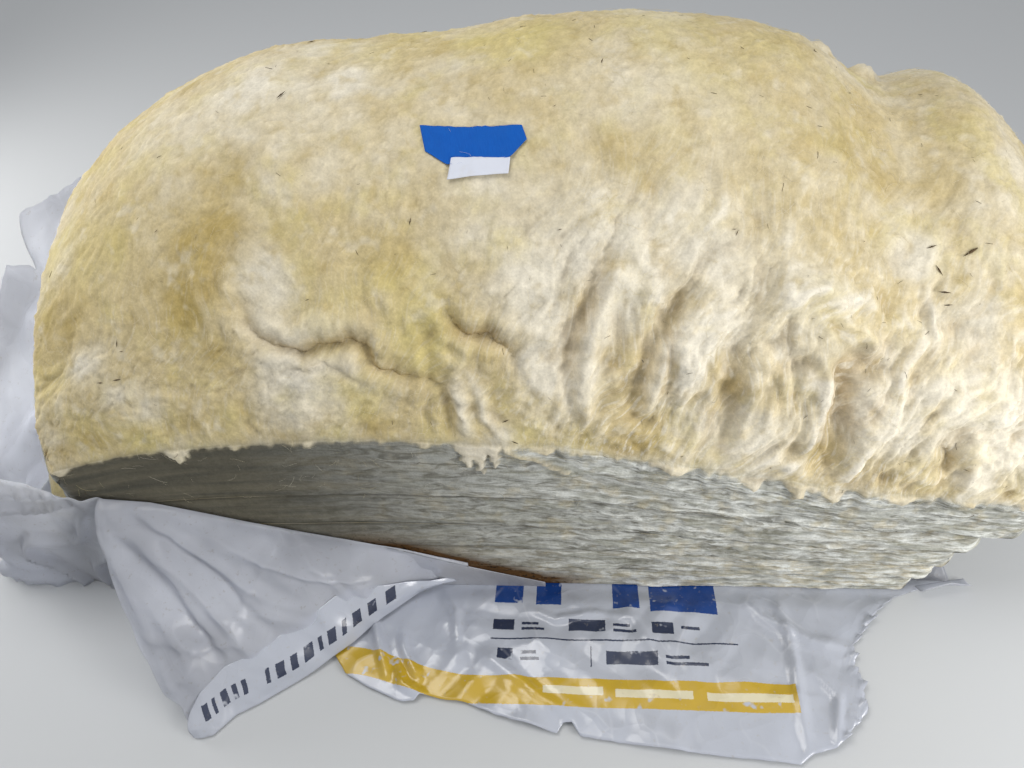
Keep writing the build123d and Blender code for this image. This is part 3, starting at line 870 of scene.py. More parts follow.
def shape_batt(number, settings, noise):
    """One batt as a dense closed mesh, with its relief, its UV map and what its material reads."""
    name = f"batt_{number + 1}"
    low_corner, high_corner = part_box(name)
    left, right = low_corner.x, high_corner.x
    top = number == len(SHARES) - 1
    layers = TOP_LAYERS if top else LOW_LAYERS
    places, faces = batt_lattice(settings.columns, settings.rows, layers, top)
    share_along, share_across, up = places.T
    up = up - 0.5 * np.sin(2 * math.pi * up) / (2 * math.pi)
    x = left + along_at(share_along) * (right - left)
    y = place_at(share_across) * HALF_WIDTH
    thick = stack_height(x, y, number + 1) - stack_height(x, y, number)
    rising = up * thick

    from_end = np.minimum(x - left, right - x)
    from_side = HALF_WIDTH - np.abs(y)
    from_cover = np.minimum(rising, thick - rising)
    end_radius = np.where(top & (x < 0), 2 * END_RADIUS, END_RADIUS)
    end_a, cover_a = rounded(from_end, from_cover, end_radius)
    side_b, cover_b = rounded(from_side, from_cover, TOP_GROOVE if top else GROOVE)
    end_c, side_c = rounded(from_end, from_side, CORNER_RADIUS)
    end, side = np.maximum(end_a, end_c), np.maximum(side_b, side_c)
    cover = np.maximum(cover_a, cover_b)
    x = np.where(x - left < right - x, left + end, right - end)
    y = np.where(y < 0, side - HALF_WIDTH, HALF_WIDTH - side)
    rising = np.where(up < 0.5, cover, thick - cover)
    z = stack_height(x, y, number) + np.clip(rising, 0, None)
    points = np.column_stack([x, y, z])
    piece = new_piece(name + "_wool", points, faces)
    normal = read_vectors(piece.data.vertex_normals, "vector")

    on_top = up > 0.999
    inside_cover = on_top & (from_side > 0.0005) & (from_end > 0.0005)
    hidden = inside_cover & (not top) | (up < 0.001)
    cut = np.where(on_top, np.exp(-from_side / 0.002), 1.0)
    front = (y < 0) & (from_side < 0.001)
    layer = sum(s[0] for s in SHARES[:number]) * 0.3 + up * SHARES[number][0] * 0.3
    # Dark at the left to torn and pale at the right: partly real tearing, partly painted shade over
    # the left of the front face and painted light on its right.
    at_left = np.exp(-((x - left) / 0.012) ** 2)
    torn = np.maximum(0.12 + 0.88 * ramp(x, -0.12, 0.26), 0.6 * at_left)
    rough = np.maximum(ramp(x, -0.32, 0.22), 0.75 * at_left)
    # The cut edges' painted light and shade, and painted shade in their hollows.
    shift, tone, hollow_shade = cut_relief(x, y, layer, number, torn, noise)
    shift = np.where((cut > 0.5) & ~hidden, shift, 0.0)
    tone, hollow_shade = tone * cut, hollow_shade * cut

    joint_below = rising if number else NO_JOINT
    joint_above = NO_JOINT if top else thick - rising
    joint = np.exp(-np.minimum(joint_below, joint_above) / 0.0022) * cut * (1 - 0.45 * torn)
    joint *= 0.75 + 0.5 * noise.rough(xyz(x * 8, number, 0.0), 2)
    above_lip = z - np.interp(x, LIP[:, 0], LIP[:, 1]) - 0.004
    damp = np.exp(-np.maximum(above_lip, 0) / 0.014) * ramp(x, -0.24, -0.10) * ramp(x, 0.17, 0.02)

    flat = np.column_stack([x, layer])
    pale = 0.0
    if top:
        height, pull, creases, pale, fine, strong, flow = skin_relief(x, y, noise, settings)
        flat = np.where(on_top[:, None], flow, flat)
        down = thick - rising
        skin = 1 - cut
        calm = skin * ramp(from_side, 0.0, 0.008) + (1 - skin) * np.exp(-down / 0.012) * 0.8
        over, out = overhang(x, down, front, torn, noise)
        shift = shift * (1 - skin) + height * calm * (on_top | front) + out
        slope = pull * calm * on_top
        points[:, 1] += slope * 0.6
        points[:, 2] += slope * 0.8 * (y < 0)
        # Painted light and shade of the skin's fine relief, added to that of the cut edges.
        tone = tone + fine * skin
        # Painted shade in the skin's creases and low lumps.
        hollow_shade = np.maximum(hollow_shade, creases * skin)
        in_middle = np.exp(-(((x + 0.004) / 0.030) ** 2))
        pale = np.maximum(pale * skin, over * (0.5 + 0.5 * in_middle))
        cut = cut * (1 - over)
        rough = rough * cut + strong * (1 - cut)
    points = points + normal * shift[:, None]
    points[:, 2] = np.maximum(points[:, 2], FLOOR_OF_STACK)
    set_points(piece, points)
    set_uv(piece, flat)

    ochre, white, yellow = (
        patches(x, y, blots, noise) if top else 0.0 for blots in (OCHRE, PALE, YELLOW))
    read_by_material = {
        "cut": cut,
        # Painted shade in the creases and hollows, for the material to read.
        "hollow_shade": hollow_shade,
        "tone": tone,
        "joint": np.clip(joint, 0, 1),
        "warm": np.clip(0.55 - 0.32 * number + 0.75 * ramp(x, 0.1, 0.45), 0, 1),
        "torn": rough,
        "damp": damp * front,
        "ochre": ochre,
        "pale": np.maximum(white, pale),
        "yellow": yellow,
    }
    if top:
        read_by_material["tuft"] = np.where(up > 0.5, 0.15 + 0.85 * torn, 0.25)
    for label, values in read_by_material.items():
        set_attribute(piece, label, values)
    return piece


def skin_point(piece, x, y):
    """Place and normal on the top batt's finished skin at points on plan."""
    settings = bpy.context.scene.batt_wool
    columns, rows = settings.columns, settings.rows
    ring = ring_places(columns, rows)
    grid = np.empty((columns + 1, rows + 1), int)
    for m, (i, j) in enumerate(ring):
        grid[i, j] = TOP_LAYERS * len(ring) + m
    inner = np.ones((columns + 1, rows + 1), bool)
    inner[[0, -1], :] = False
    inner[:, [0, -1]] = False
    grid[inner] = (TOP_LAYERS + 1) * len(ring) + np.arange(inner.sum())

    low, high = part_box("batt_5")
    shares = np.linspace(0, 1, 2001)
    along = np.interp((x - low.x) / (high.x - low.x), along_at(shares), shares) * columns
    across = np.interp(y / HALF_WIDTH, place_at(shares), shares) * rows
    i, j = np.floor(along).astype(int), np.floor(across).astype(int)
    s, t = (along - i)[:, None], (across - j)[:, None]

    def blend(values):
        return (
            (1 - s) * (1 - t) * values[grid[i, j]]
            + s * (1 - t) * values[grid[i + 1, j]]
            + (1 - s) * t * values[grid[i, j + 1]]
            + s * t * values[grid[i + 1, j + 1]]
        )

    points = read_vectors(piece.data.vertices, "co")
    normals = read_vectors(piece.data.vertex_normals, "vector")
    return blend(points), blend(normals)


# ---------------------------------------------------------------- materials


class Tree:
    """Adds nodes to a node tree, with their inputs given by name or number."""

    def __init__(self, tree):
        self.tree = tree

    def put(self, value, socket):
        """Link another socket to this one, or set its value. A colour is three numbers."""
        if isinstance(value, bpy.types.NodeSocket):
            self.tree.links.new(value, socket)
        elif socket.type == "RGBA":
            socket.default_value = (*value, 1.0)
        else:
            socket.default_value = value

    def add(self, kind, inputs=None, **settings):
        made = self.tree.nodes.new(kind)
        for key, value in settings.items():
            setattr(made, key, value)
        for key, value in (inputs or {}).items():
            self.put(value, made.inputs[key])
        return made

    def place(self, group, inputs):
        return self.add("ShaderNodeGroup", inputs, node_tree=group).outputs

    def math(self, operation, a, b=0.0, clamp=False):
        made = self.add("ShaderNodeMath", {0: a, 1: b}, operation=operation, use_clamp=clamp)
        return made.outputs[0]

    def times(self, a, b, clamp=False):
        return self.math("MULTIPLY", a, b, clamp)

    def plus(self, a, b, clamp=False):
        return self.math("ADD", a, b, clamp)

    def span(self, value, low, high, to_low=0.0, to_high=1.0):
        """A value from one range put onto another, level past its ends."""
        inputs = {"Value": value, "From Min": low, "From Max": high,
                  "To Min": to_low, "To Max": to_high}
        return self.add("ShaderNodeMapRange", inputs).outputs[0]

    def mix(self, share, a, b, blend="MIX"):
        factor, first, second = 0, 6, 7
        made = self.add("ShaderNodeMix", data_type="RGBA", blend_type=blend)
        for value, number in ((share, factor), (a, first), (b, second)):
            self.put(value, made.inputs[number])
        return made.outputs[2]

    def shade(self, colour, share):
        """A colour multiplied by a grey value."""
        grey = self.add("ShaderNodeCombineXYZ", {0: share, 1: share, 2: share}).outputs[0]
        return self.mix(1.0, colour, grey, "MULTIPLY")

    def noise(self, vector, scale, detail=3.0, roughness=0.5, distortion=0.0, kind="FBM"):
        inputs = {"Vector": vector, "Scale": scale, "Detail": detail,
                  "Roughness": roughness, "Distortion": distortion}
        return self.add("ShaderNodeTexNoise", inputs, noise_type=kind, normalize=True).outputs[0]

    def cells(self, vector, scale, feature="F1"):
        inputs = {"Vector": vector, "Scale": scale}
        return self.add("ShaderNodeTexVoronoi", inputs, feature=feature).outputs["Distance"]

    def vector(self, operation, a, b):
        return self.add("ShaderNodeVectorMath", {0: a, 1: b}, operation=operation).outputs[0]

    def stretch(self, vector, scale):
        return self.vector("MULTIPLY", vector, scale)

    def attribute(self, name):
        return self.add("ShaderNodeAttribute", attribute_name=name).outputs["Fac"]

    def where(self):
        return self.add("ShaderNodeTexCoord").outputs["Object"]

    def flat(self):
        return self.add("ShaderNodeUVMap", uv_map="metres").outputs[0]

    def bump(self, shader, height, strength, distance):
        inputs = {"Height": height, "Strength": strength, "Distance": distance}
        raised = self.add("ShaderNodeBump", inputs).outputs[0]
        self.put(raised, shader.inputs["Normal"])
        return raised

    def finish(self, shader, colour, roughness):
        self.put(colour, shader.inputs["Base Color"])
        self.put(roughness, shader.inputs["Roughness"])


def darker(colour, share):
    return [channel * share for channel in colour]


def new_group(name, inputs, outputs):
    """A shader node group with these sockets. Returns it, its inner tree and its two ends."""
    group = bpy.data.node_groups.new(name, "ShaderNodeTree")
    for label, kind, default in inputs:
        socket = group.interface.new_socket(label, in_out="INPUT", socket_type=kind)
        if default is not None:
            socket.default_value = default
    for label in outputs:
        group.interface.new_socket(label, in_out="OUTPUT", socket_type="NodeSocketFloat")
    tree = Tree(group)
    return group, tree, tree.add("NodeGroupInput").outputs, tree.add("NodeGroupOutput").inputs


def fibre_group():
    """Matted fibres: small clots with fine threads over them, as a value and a height."""
    group, tree, given, end = new_group(
        "matted_fibres",
        [("Vector", "NodeSocketVector", None), ("Scale", "NodeSocketFloat", 60.0),
         ("Threads", "NodeSocketFloat", 0.5)],
        ["Value", "Height"],
    )
    vector, scale = given["Vector"], given["Scale"]
    clots = tree.noise(vector, scale, 2.0, 0.68)
    drawn_out = tree.stretch(vector, (1.0, 0.30, 0.5))
    ridges = tree.noise(drawn_out, tree.times(scale, 2.2), 1.0, 0.6, 0.0, "RIDGED_MULTIFRACTAL")
    threads = tree.times(tree.span(ridges, 0.45, 0.95), given["Threads"])
    tree.put(tree.plus(clots, tree.times(threads, 0.22), True), end["Value"])
    tree.put(tree.plus(clots, tree.times(threads, 0.3)), end["Height"])
    return group


def crumple_group():
    """Crumpled film: facets between sharp creases, and the pale lines along the creases."""
    group, tree, given, end = new_group(
        "crumpled_film",
        [("Vector", "NodeSocketVector", None), ("Scale", "NodeSocketFloat", 14.0)],
        ["Height", "Creases", "Clouds"],
    )
    vector, scale = given["Vector"], given["Scale"]
    sway = tree.add("ShaderNodeTexNoise", {"Vector": vector, "Scale": scale, "Detail": 1.0})
    turned = tree.vector("SUBTRACT", sway.outputs["Color"], (0.5, 0.5, 0.5))
    moved = tree.vector("ADD", vector, tree.stretch(turned, (0.05, 0.05, 0.05)))
    facets = tree.cells(moved, scale)
    small = tree.cells(moved, tree.times(scale, 2.7))
    edges = tree.cells(moved, scale, "DISTANCE_TO_EDGE")
    patchy = tree.span(tree.noise(vector, tree.times(scale, 0.8), 2.0), 0.48, 0.62)
    tree.put(tree.plus(facets, tree.times(small, 0.35)), end["Height"])
    tree.put(tree.times(tree.span(edges, 0.0, 0.035, 1.0, 0.0), patchy), end["Creases"])
    tree.put(tree.noise(vector, tree.times(scale, 0.5)), end["Clouds"])
    return group


def grain_group():
    """Fine grain of paper: small fibres and pores."""
    group, tree, given, end = new_group(
        "paper_grain",
        [("Vector", "NodeSocketVector", None), ("Scale", "NodeSocketFloat", 900.0)],
        ["Value"],
    )
    tree.put(tree.noise(given["Vector"], given["Scale"], 3.0, 0.6), end["Value"])
    return group


def new_material(name, finish):
    """A material with its Principled BSDF's constants set on its own sockets."""
    material = bpy.data.materials.new(name)
    material.use_nodes = True
    shader = material.node_tree.nodes["Principled BSDF"]
    for key, value in finish.items():
        shader.inputs[key].default_value = value
    return material, Tree(material.node_tree), shader


def wool_skin(tree, settings, where, flat, spots, torn, hollow_shade):
    """Colour of the skin: clouds, patches, stains, painted shade in the hollows and creases, and
    pale wisps, one over another.
    """
    clouds = tree.noise(where, 6.5, 3.0, 0.6)
    patchy = tree.noise(where, 14.0, 3.0, 0.65)
    streaks = tree.noise(tree.stretch(flat, (230.0, 48.0, 1.0)), 1.0, 2.0, 0.6)
    wisps = tree.times(tree.span(streaks, 0.52, 0.68, 0.0, 0.6), tree.plus(torn, 0.08), True)
    skin = settings.cream
    for share, over in (
        (tree.span(clouds, 0.46, 0.64, 0.0, 0.7), settings.pale),
        (tree.span(patchy, 0.50, 0.66, 0.0, 0.5), settings.yellow),
        (tree.times(tree.attribute("yellow"), 0.75), settings.yellow),
        (tree.times(tree.attribute("ochre"), 0.9), settings.ochre),
        (tree.times(tree.attribute("pale"), 0.9), settings.pale),
        (tree.span(spots, 0.56, 0.75, 0.0, 0.45), settings.ochre),
        (tree.span(spots, 0.42, 0.28, 0.0, 0.35), settings.pale),
        # Painted shade in the hollows and creases.
        (tree.times(hollow_shade, 0.75), settings.hollow_shade),
        (wisps, settings.pale),
    ):
        skin = tree.mix(share, skin, over)
    return skin


def wool_edge(tree, settings, where, flat, spots, layers, torn, hollow_shade):
    """Colour of the cut edges: a dark base that is partly painted shade, bands, torn clots, smears,
    dark joints, the damp stain and painted shade in the clots' hollows.
    """
    bands = tree.noise(tree.stretch(flat, (4.0, 60.0, 1.0)), 1.0, 2.0, 0.5)
    clots = tree.noise(tree.stretch(flat, (26.0, 95.0, 1.0)), 1.0, 3.0, 0.65, 1.4)
    smears = tree.noise(tree.stretch(flat, (11.0, 42.0, 1.0)), 1.0, 2.0, 0.6, 1.6)
    grains = tree.noise(where, 150.0, 2.0)
    warm, damp = tree.attribute("warm"), tree.attribute("damp")
    lines = tree.plus(tree.times(torn, 0.2), 0.25)
    # A dark base, partly painted shade.
    edge = settings.cut
    for share, over in (
        (tree.span(bands, 0.35, 0.65, 0.0, 0.12), settings.cut_warm),
        (tree.times(warm, tree.span(bands, 0.3, 0.6, 0.3, 1.0)), settings.cut_warm),
        (tree.times(tree.span(clots, 0.36, 0.60, 0.25, 1.0), torn), settings.cut_pale),
        (tree.times(tree.span(smears, 0.46, 0.62, 0.0, 0.6), torn), settings.smear),
        (tree.times(tree.span(spots, 0.54, 0.70, 0.0, 0.35), torn), settings.cream),
        (tree.times(tree.span(layers, 0.42, 0.30, 0.0, 0.75), lines), darker(settings.cut, 0.5)),
        (tree.attribute("joint"), darker(settings.cut, 0.3)),
        (tree.times(damp, tree.span(clots, 0.30, 0.50, 0.8, 1.5), True), settings.damp),
        (tree.times(damp, tree.span(grains, 0.58, 0.64), True), DIRT),
        # Painted shade in the hollows of the torn clots.
        (tree.times(hollow_shade, 0.7), darker(settings.cut, 0.8)),
    ):
        edge = tree.mix(share, edge, over)
    return edge


def wool_material(settings, fibres):
    """Glass wool: mottled skin, laminated cut edges, stains, dirt, matted fibres, and painted light
    and shade over its relief.
    """
    material, tree, shader = new_material("glass_wool", {"Specular IOR Level": 0.15})
    where, flat = tree.where(), tree.flat()
    cut, hollow_shade, tone, torn = map(tree.attribute, ("cut", "hollow_shade", "tone", "torn"))
    matted, fine = (
        tree.place(fibres, {"Vector": where, "Scale": scale, "Threads": tree.plus(torn, least)})
        for scale, least in ((110.0, 0.06), (420.0, 0.2))
    )
    spots = tree.noise(where, 36.0, 2.0, 0.65)
    layers = tree.noise(tree.stretch(flat, (8.0, 380.0, 1.0)), 1.0, 2.0, 0.6)
    skin = wool_skin(tree, settings, where, flat, spots, torn, hollow_shade)
    edge = wool_edge(tree, settings, where, flat, spots, layers, torn, hollow_shade)
    colour = tree.mix(cut, skin, edge)
    # Painted light and shade: the tone makes raised relief lighter and low relief darker.
    colour = tree.shade(colour, tree.span(tone, -1.0, 1.0, 0.82, 1.20))
    colour = tree.shade(colour, tree.span(matted["Value"], 0.3, 0.75, 0.90, 1.09))
    colour = tree.shade(colour, tree.span(fine["Value"], 0.3, 0.75, 0.92, 1.07))
    tree.finish(shader, colour, tree.span(fine["Value"], 0.3, 0.7, 0.98, 0.86))
    height = tree.plus(matted["Height"], tree.times(tree.times(layers, cut), 0.4))
    tree.bump(shader, height, 0.5, 0.0026)
    return material


def fibre_material(settings, fibres):
    """Single loose fibres, paler than the mat."""
    material, tree, shader = new_material("loose_fibre", {"Specular IOR Level": 0.25})
    where = tree.where()
    clouds = tree.noise(where, 9.0)
    fine = tree.place(fibres, {"Vector": where, "Scale": 300.0, "Threads": 0.5})["Value"]
    colour = tree.mix(tree.span(clouds, 0.4, 0.65), settings.pale, settings.yellow)
    colour = tree.mix(tree.span(fine, 0.3, 0.7, 0.4, 0.0), colour, settings.cream)
    tree.finish(shader, colour, tree.span(fine, 0.3, 0.7, 0.6, 0.85))
    return material


def speck_material(fibres):
    """Bits of straw and dirt."""
    material, tree, shader = new_material("straw_dirt", {"Specular IOR Level": 0.2})
    where = tree.where()
    tone = tree.noise(where, 22.0, 2.0)
    fine = tree.place(fibres, {"Vector": where, "Scale": 500.0, "Threads": 0.5})["Value"]
    colour = tree.mix(tree.span(tone, 0.4, 0.6), (0.030, 0.020, 0.012), (0.085, 0.055, 0.028))
    colour = tree.mix(tree.span(fine, 0.35, 0.7, 0.0, 0.5), colour, (0.16, 0.11, 0.06))
    tree.finish(shader, colour, tree.span(tone, 0.3, 0.7, 0.7, 0.95))
    return material


def inside(tree, value, low, high):
    """1 between two numbers, 0 outside."""
    return tree.times(tree.math("GREATER_THAN", value, low), tree.math("LESS_THAN", value, high))


def print_over(tree, settings, colour, where):
    """The plain bars, rules and band over the film's colour, frayed and a little worn."""
    frayed = tree.noise(where, 700.0, 2.0)
    axis = tree.add("ShaderNodeSeparateXYZ", {0: tree.flat()}).outputs
    u = tree.plus(axis[0], tree.span(frayed, 0.3, 0.7, -FRAY, FRAY))
    v = tree.plus(axis[1], tree.span(frayed, 0.3, 0.7, FRAY, -FRAY))
    worn = tree.span(tree.noise(where, 60.0, 2.0, 0.65), 0.26, 0.36)
    bars = [(left, right, *STRIP_BARS_UP, "print_dark") for left, right in STRIP_BARS]
    for left, right, low, high, ink in PRINTED + bars:
        inked = tree.times(inside(tree, u, left, right), inside(tree, v, low, high))
        colour = tree.mix(tree.times(inked, worn), colour, getattr(settings, ink))
    return colour


def film_material(name, settings, crumples, printed):
    """Milky film, greyer where it is thin, with pale stress lines and plain printed bars."""
    finish = {"Specular IOR Level": 0.65, "IOR": 1.5, "Coat Weight": 0.25, "Coat Roughness": 0.12}
    material, tree, shader = new_material(name, finish)
    where = tree.where()
    big = tree.place(crumples, {"Vector": where, "Scale": 13.0})
    if printed:
        # Painted shade: the printed film takes a darker white and grey than the plain film.
        white, grey, thin, sheer = settings.backed_and_shaded, darker(settings.grey, 0.72), 0.25, 0.1
    else:
        white, grey, thin, sheer = settings.white, settings.grey, 0.55, settings.sheer
    colour = tree.mix(tree.span(big["Clouds"], 0.38, 0.62, 0.0, thin), white, grey)
    if printed:
        colour = print_over(tree, settings, colour, where)
    colour = tree.mix(tree.times(big["Creases"], 0.16), colour, (0.86, 0.87, 0.92))
    dust = tree.noise(where, 150.0, 2.0, 0.7)
    colour = tree.mix(tree.span(dust, 0.62, 0.8, 0.0, 0.35), colour, (0.40, 0.35, 0.27))
    tree.finish(shader, colour, tree.span(big["Clouds"], 0.3, 0.7, 0.16, 0.30))
    raised = tree.bump(shader, big["Height"], 0.4, 0.012)
    through = tree.add("ShaderNodeBsdfTranslucent", {"Color": colour, "Normal": raised})
    both = tree.add("ShaderNodeMixShader", {0: sheer, 1: shader.outputs[0], 2: through.outputs[0]})
    tree.put(both.outputs[0], material.node_tree.nodes["Material Output"].inputs["Surface"])
    return material


def tape_material(settings, grain):
    """Crepe paper tape: fine cross ridges and a slight wear along them."""
    material, tree, shader = new_material("crepe_tape", {"Specular IOR Level": 0.12})
    where = tree.where()
    ridges = tree.noise(tree.stretch(tree.flat(), (1500.0, 160.0, 1.0)), 1.0, 3.0, 0.55, 1.2)
    fine = tree.place(grain, {"Vector": where, "Scale": 1400.0})["Value"]
    clouds = tree.noise(where, 70.0)
    ridged = tree.span(ridges, 0.35, 0.65, 0.0, 0.4)
    colour = tree.mix(ridged, settings.tape_blue, settings.tape_worn)
    colour = tree.mix(tree.span(clouds, 0.45, 0.7, 0.0, 0.3), colour, (0.006, 0.10, 0.42))
    tree.finish(shader, colour, tree.span(fine, 0.3, 0.7, 0.55, 0.75))
    tree.bump(shader, tree.plus(ridges, tree.times(fine, 0.3)), 0.6, 0.0006)
    return material


def paper_material(settings, grain):
    """White paper of the tag, a little grubby at places."""
    material, tree, shader = new_material("tag_paper", {"Specular IOR Level": 0.35})
    where = tree.where()
    fine = tree.place(grain, {"Vector": where, "Scale": 900.0})["Value"]
    smudge = tree.span(tree.noise(where, 60.0, 4.0, 0.6), 0.5, 0.8, 0.0, 0.3)
    colour = tree.mix(smudge, settings.tag_white, (0.55, 0.50, 0.40))
    tree.finish(shader, colour, tree.span(fine, 0.3, 0.7, 0.6, 0.8))
    tree.bump(shader, fine, 0.3, 0.0003)
    return material


def floor_material(settings):
    """Plain pale floor."""
    material, tree, shader = new_material("floor", {"Roughness": 0.9, "Specular IOR Level": 0.2})
    tone = tree.span(tree.noise(tree.where(), 1.5, 2.0), 0.3, 0.7, 0.0, 0.1)
    colour = tree.mix(tone, settings.floor, darker(settings.floor, 0.95))
    tree.put(colour, shader.inputs["Base Color"])
    return material


# ---------------------------------------------------------------- scattered fibres and specks


def sliver(tree, bends, radius, length, sides):
    """One bent sliver of unit length, thinner at its ends, as nodes."""
    bend_a, bend_b, lift = bends
    line = tree.add(
        "GeometryNodeCurvePrimitiveBezierSegment",
        {"Resolution": 5, "Start": (-0.5, 0, 0), "Start Handle": (-0.2, bend_a, lift),
         "End Handle": (0.2, bend_b, lift), "End": (0.5, 0, 0)},
        mode="POSITION",
    ).outputs[0]
    factor = tree.add("GeometryNodeSplineParameter").outputs["Factor"]
    from_middle = tree.math("ABSOLUTE", tree.math("SUBTRACT", factor, 0.5))
    thin = tree.span(from_middle, 0.0, 0.5, 1.0, 0.3)
    width = tree.times(tree.math("DIVIDE", radius, length), thin)
    shaped = tree.add("GeometryNodeSetCurveRadius", {"Curve": line, "Radius": width}).outputs[0]
    profile = tree.add("GeometryNodeCurvePrimitiveCircle", {"Resolution": sides, "Radius": 1.0})
    tube = tree.add(
        "GeometryNodeCurveToMesh",
        {"Curve": shaped, "Profile Curve": profile.outputs[0], "Fill Caps": True})
    if "Scale" in tube.inputs:
        tree.put(width, tube.inputs["Scale"])
    return tube.outputs[0]


def scatter(name, carrier, density, sizes, shapes, seed, material):
    """Small bent slivers over the carrier's faces, made by Geometry Nodes, as a plain mesh."""
    group = bpy.data.node_groups.new(name + "_tree", "GeometryNodeTree")
    sockets = group.interface
    sockets.new_socket("Geometry", in_out="INPUT", socket_type="NodeSocketGeometry")
    given = {
        "Density": ("Float", density),
        "Length": ("Float", sizes["length"]),
        "Radius": ("Float", sizes["radius"]),
        "Seed": ("Int", seed),
        "Material": ("Material", material),
    }
    labels = {}
    for label, (kind, _) in given.items():
        socket = sockets.new_socket(label, in_out="INPUT", socket_type="NodeSocket" + kind)
        labels[label] = socket.identifier
    sockets.new_socket("Geometry", in_out="OUTPUT", socket_type="NodeSocketGeometry")
    tree = Tree(group)
    own, end = tree.add("NodeGroupInput").outputs, tree.add("NodeGroupOutput").inputs
    share = tree.add(
        "GeometryNodeInputNamedAttribute", {"Name": "tuft"}, data_type="FLOAT").outputs["Attribute"]
    points = tree.add(
        "GeometryNodeDistributePointsOnFaces",
        {"Mesh": own["Geometry"], "Density": tree.times(share, own["Density"]),
         "Seed": own["Seed"]},
        distribute_method="RANDOM",
    ).outputs
    kinds = tree.add("GeometryNodeGeometryToInstance")
    for bends in shapes:
        tube = sliver(tree, bends, own["Radius"], own["Length"], sizes["sides"])
        tree.put(tube, kinds.inputs[0])

    def random(numbers, seed, **settings):
        return tree.add("FunctionNodeRandomValue", {**numbers, "Seed": seed}, **settings).outputs

    def turned(rotation, by):
        inputs = {"Rotation": rotation, "Rotate By": by}
        return tree.add("FunctionNodeRotateEuler", inputs, space="LOCAL").outputs[0]

    upright = tree.add("FunctionNodeAlignEulerToVector", {"Vector": points["Normal"]}, axis="Z")
    turn = random({2: -HALF_TURN, 3: HALF_TURN}, 3, data_type="FLOAT")[1]
    spin = tree.add("ShaderNodeCombineXYZ", {2: turn}).outputs[0]
    most = sizes["tilt"]
    tilt = random({0: (-most,) * 3, 1: (most,) * 3}, 8, data_type="FLOAT_VECTOR")[0]
    length = random({2: sizes["low"], 3: sizes["high"]}, 5, data_type="FLOAT")[1]
    placed = tree.add(
        "GeometryNodeInstanceOnPoints",
        {"Points": points["Points"], "Instance": kinds.outputs[0], "Pick Instance": True,
         "Rotation": turned(turned(upright.outputs[0], spin), tilt),
         "Scale": tree.times(length, own["Length"])},
    )
    real = tree.add("GeometryNodeRealizeInstances", {"Geometry": placed.outputs[0]})
    finished = tree.add(
        "GeometryNodeSetMaterial", {"Geometry": real.outputs[0], "Material": own["Material"]})
    tree.put(finished.outputs[0], end[0])

    piece = bpy.data.objects.new(name, carrier.data.copy())
    bpy.context.scene.collection.objects.link(piece)
    modifier = piece.modifiers.new("scatter", "NODES")
    modifier.node_group = group
    for label, (_, value) in given.items():
        modifier[labels[label]] = value
    made = settle(piece)
    made.shade_smooth()
    if not made.materials:
        made.materials.append(material)
    if not len(made.polygons):
        raise RuntimeError(name + " came out empty")
    return piece


def straw_pieces(wool):
    """Single bits of straw at set places on the skin, each a flat splinter."""
    table = np.array(STRAWS)
    place, normal = skin_point(wool, table[:, 0], table[:, 1])
    points, faces = [], []
    for middle, up, (_, _, length, turn) in zip(place, normal, table):
        up = up / np.linalg.norm(up)
        along = np.array([math.cos(turn), math.sin(turn), 0.0])
        along -= up * (along @ up)
        along /= np.linalg.norm(along)
        side = np.cross(up, along)
        middle = middle + up * SPLINTER_LIFT
        faces += [tuple(len(points) + k for k in face) for face in SPLINTER_FACES]
        points += [middle - along * length / 2, middle + along * length / 2]
        points += [middle + side * length * SPLINTER_WIDE, middle - side * length * SPLINTER_WIDE]
        points += [middle + up * length * SPLINTER_THICK, middle - up * length * SPLINTER_THICK]
    return new_piece("straw_splinters", points, faces)


# ---------------------------------------------------------------- film


def coons(back, right, front, left, columns, rows):
    """A grid of plan points stretched between four edges. Rows run from the front to the back."""
    def walk(line, count):
        line = np.array(line)
        run = np.concatenate([[0], np.cumsum(np.hypot(*np.diff(line, axis=0).T))])
        at = np.linspace(0, run[-1], count + 1)
        return np.column_stack([np.interp(at, run, line[:, 0]), np.interp(at, run, line[:, 1])])

    high, low = walk(back, columns), walk(front, columns)
    start, stop = walk(left[::-1], rows), walk(right[::-1], rows)
    u = np.linspace(0, 1, columns + 1)[:, None, None]
    v = np.linspace(0, 1, rows + 1)[None, :, None]
    grid = (1 - v) * low[:, None] + v * high[:, None] + (1 - u) * start[None] + u * stop[None]
    grid -= (
        (1 - u) * (1 - v) * low[0] + u * (1 - v) * low[-1]
        + (1 - u) * v * high[0] + u * v * high[-1]
    )
    return grid


def grid_faces(columns, rows, base=0, flip=False):
    faces = []
    for i in range(columns):
        for j in range(rows):
            a = base + i * (rows + 1) + j
            face = (a, a + rows + 1, a + rows + 2, a + 1)
            faces.append(face[::-1] if flip else face)
    return faces


def film_creases(points, noise, size):
    """Crumples of thin film: flat facets that meet in sharp folds. From -size to size, about."""
    total = np.zeros(len(points))
    for k, (turn, rise, width) in enumerate(CRUMPLES):
        way = np.array([math.cos(turn), math.sin(turn), rise])
        wave = points @ way / width + 0.9 * noise(points * 5 + 3.1 * k)
        fold = 1 - 2 * np.abs(wave - np.floor(wave) - 0.5)
        total += width * fold * np.clip(0.5 + 1.4 * noise(points * 8 + 7.7 * k), 0, 1.2)
    return size * (total / 0.09 - 1.0)


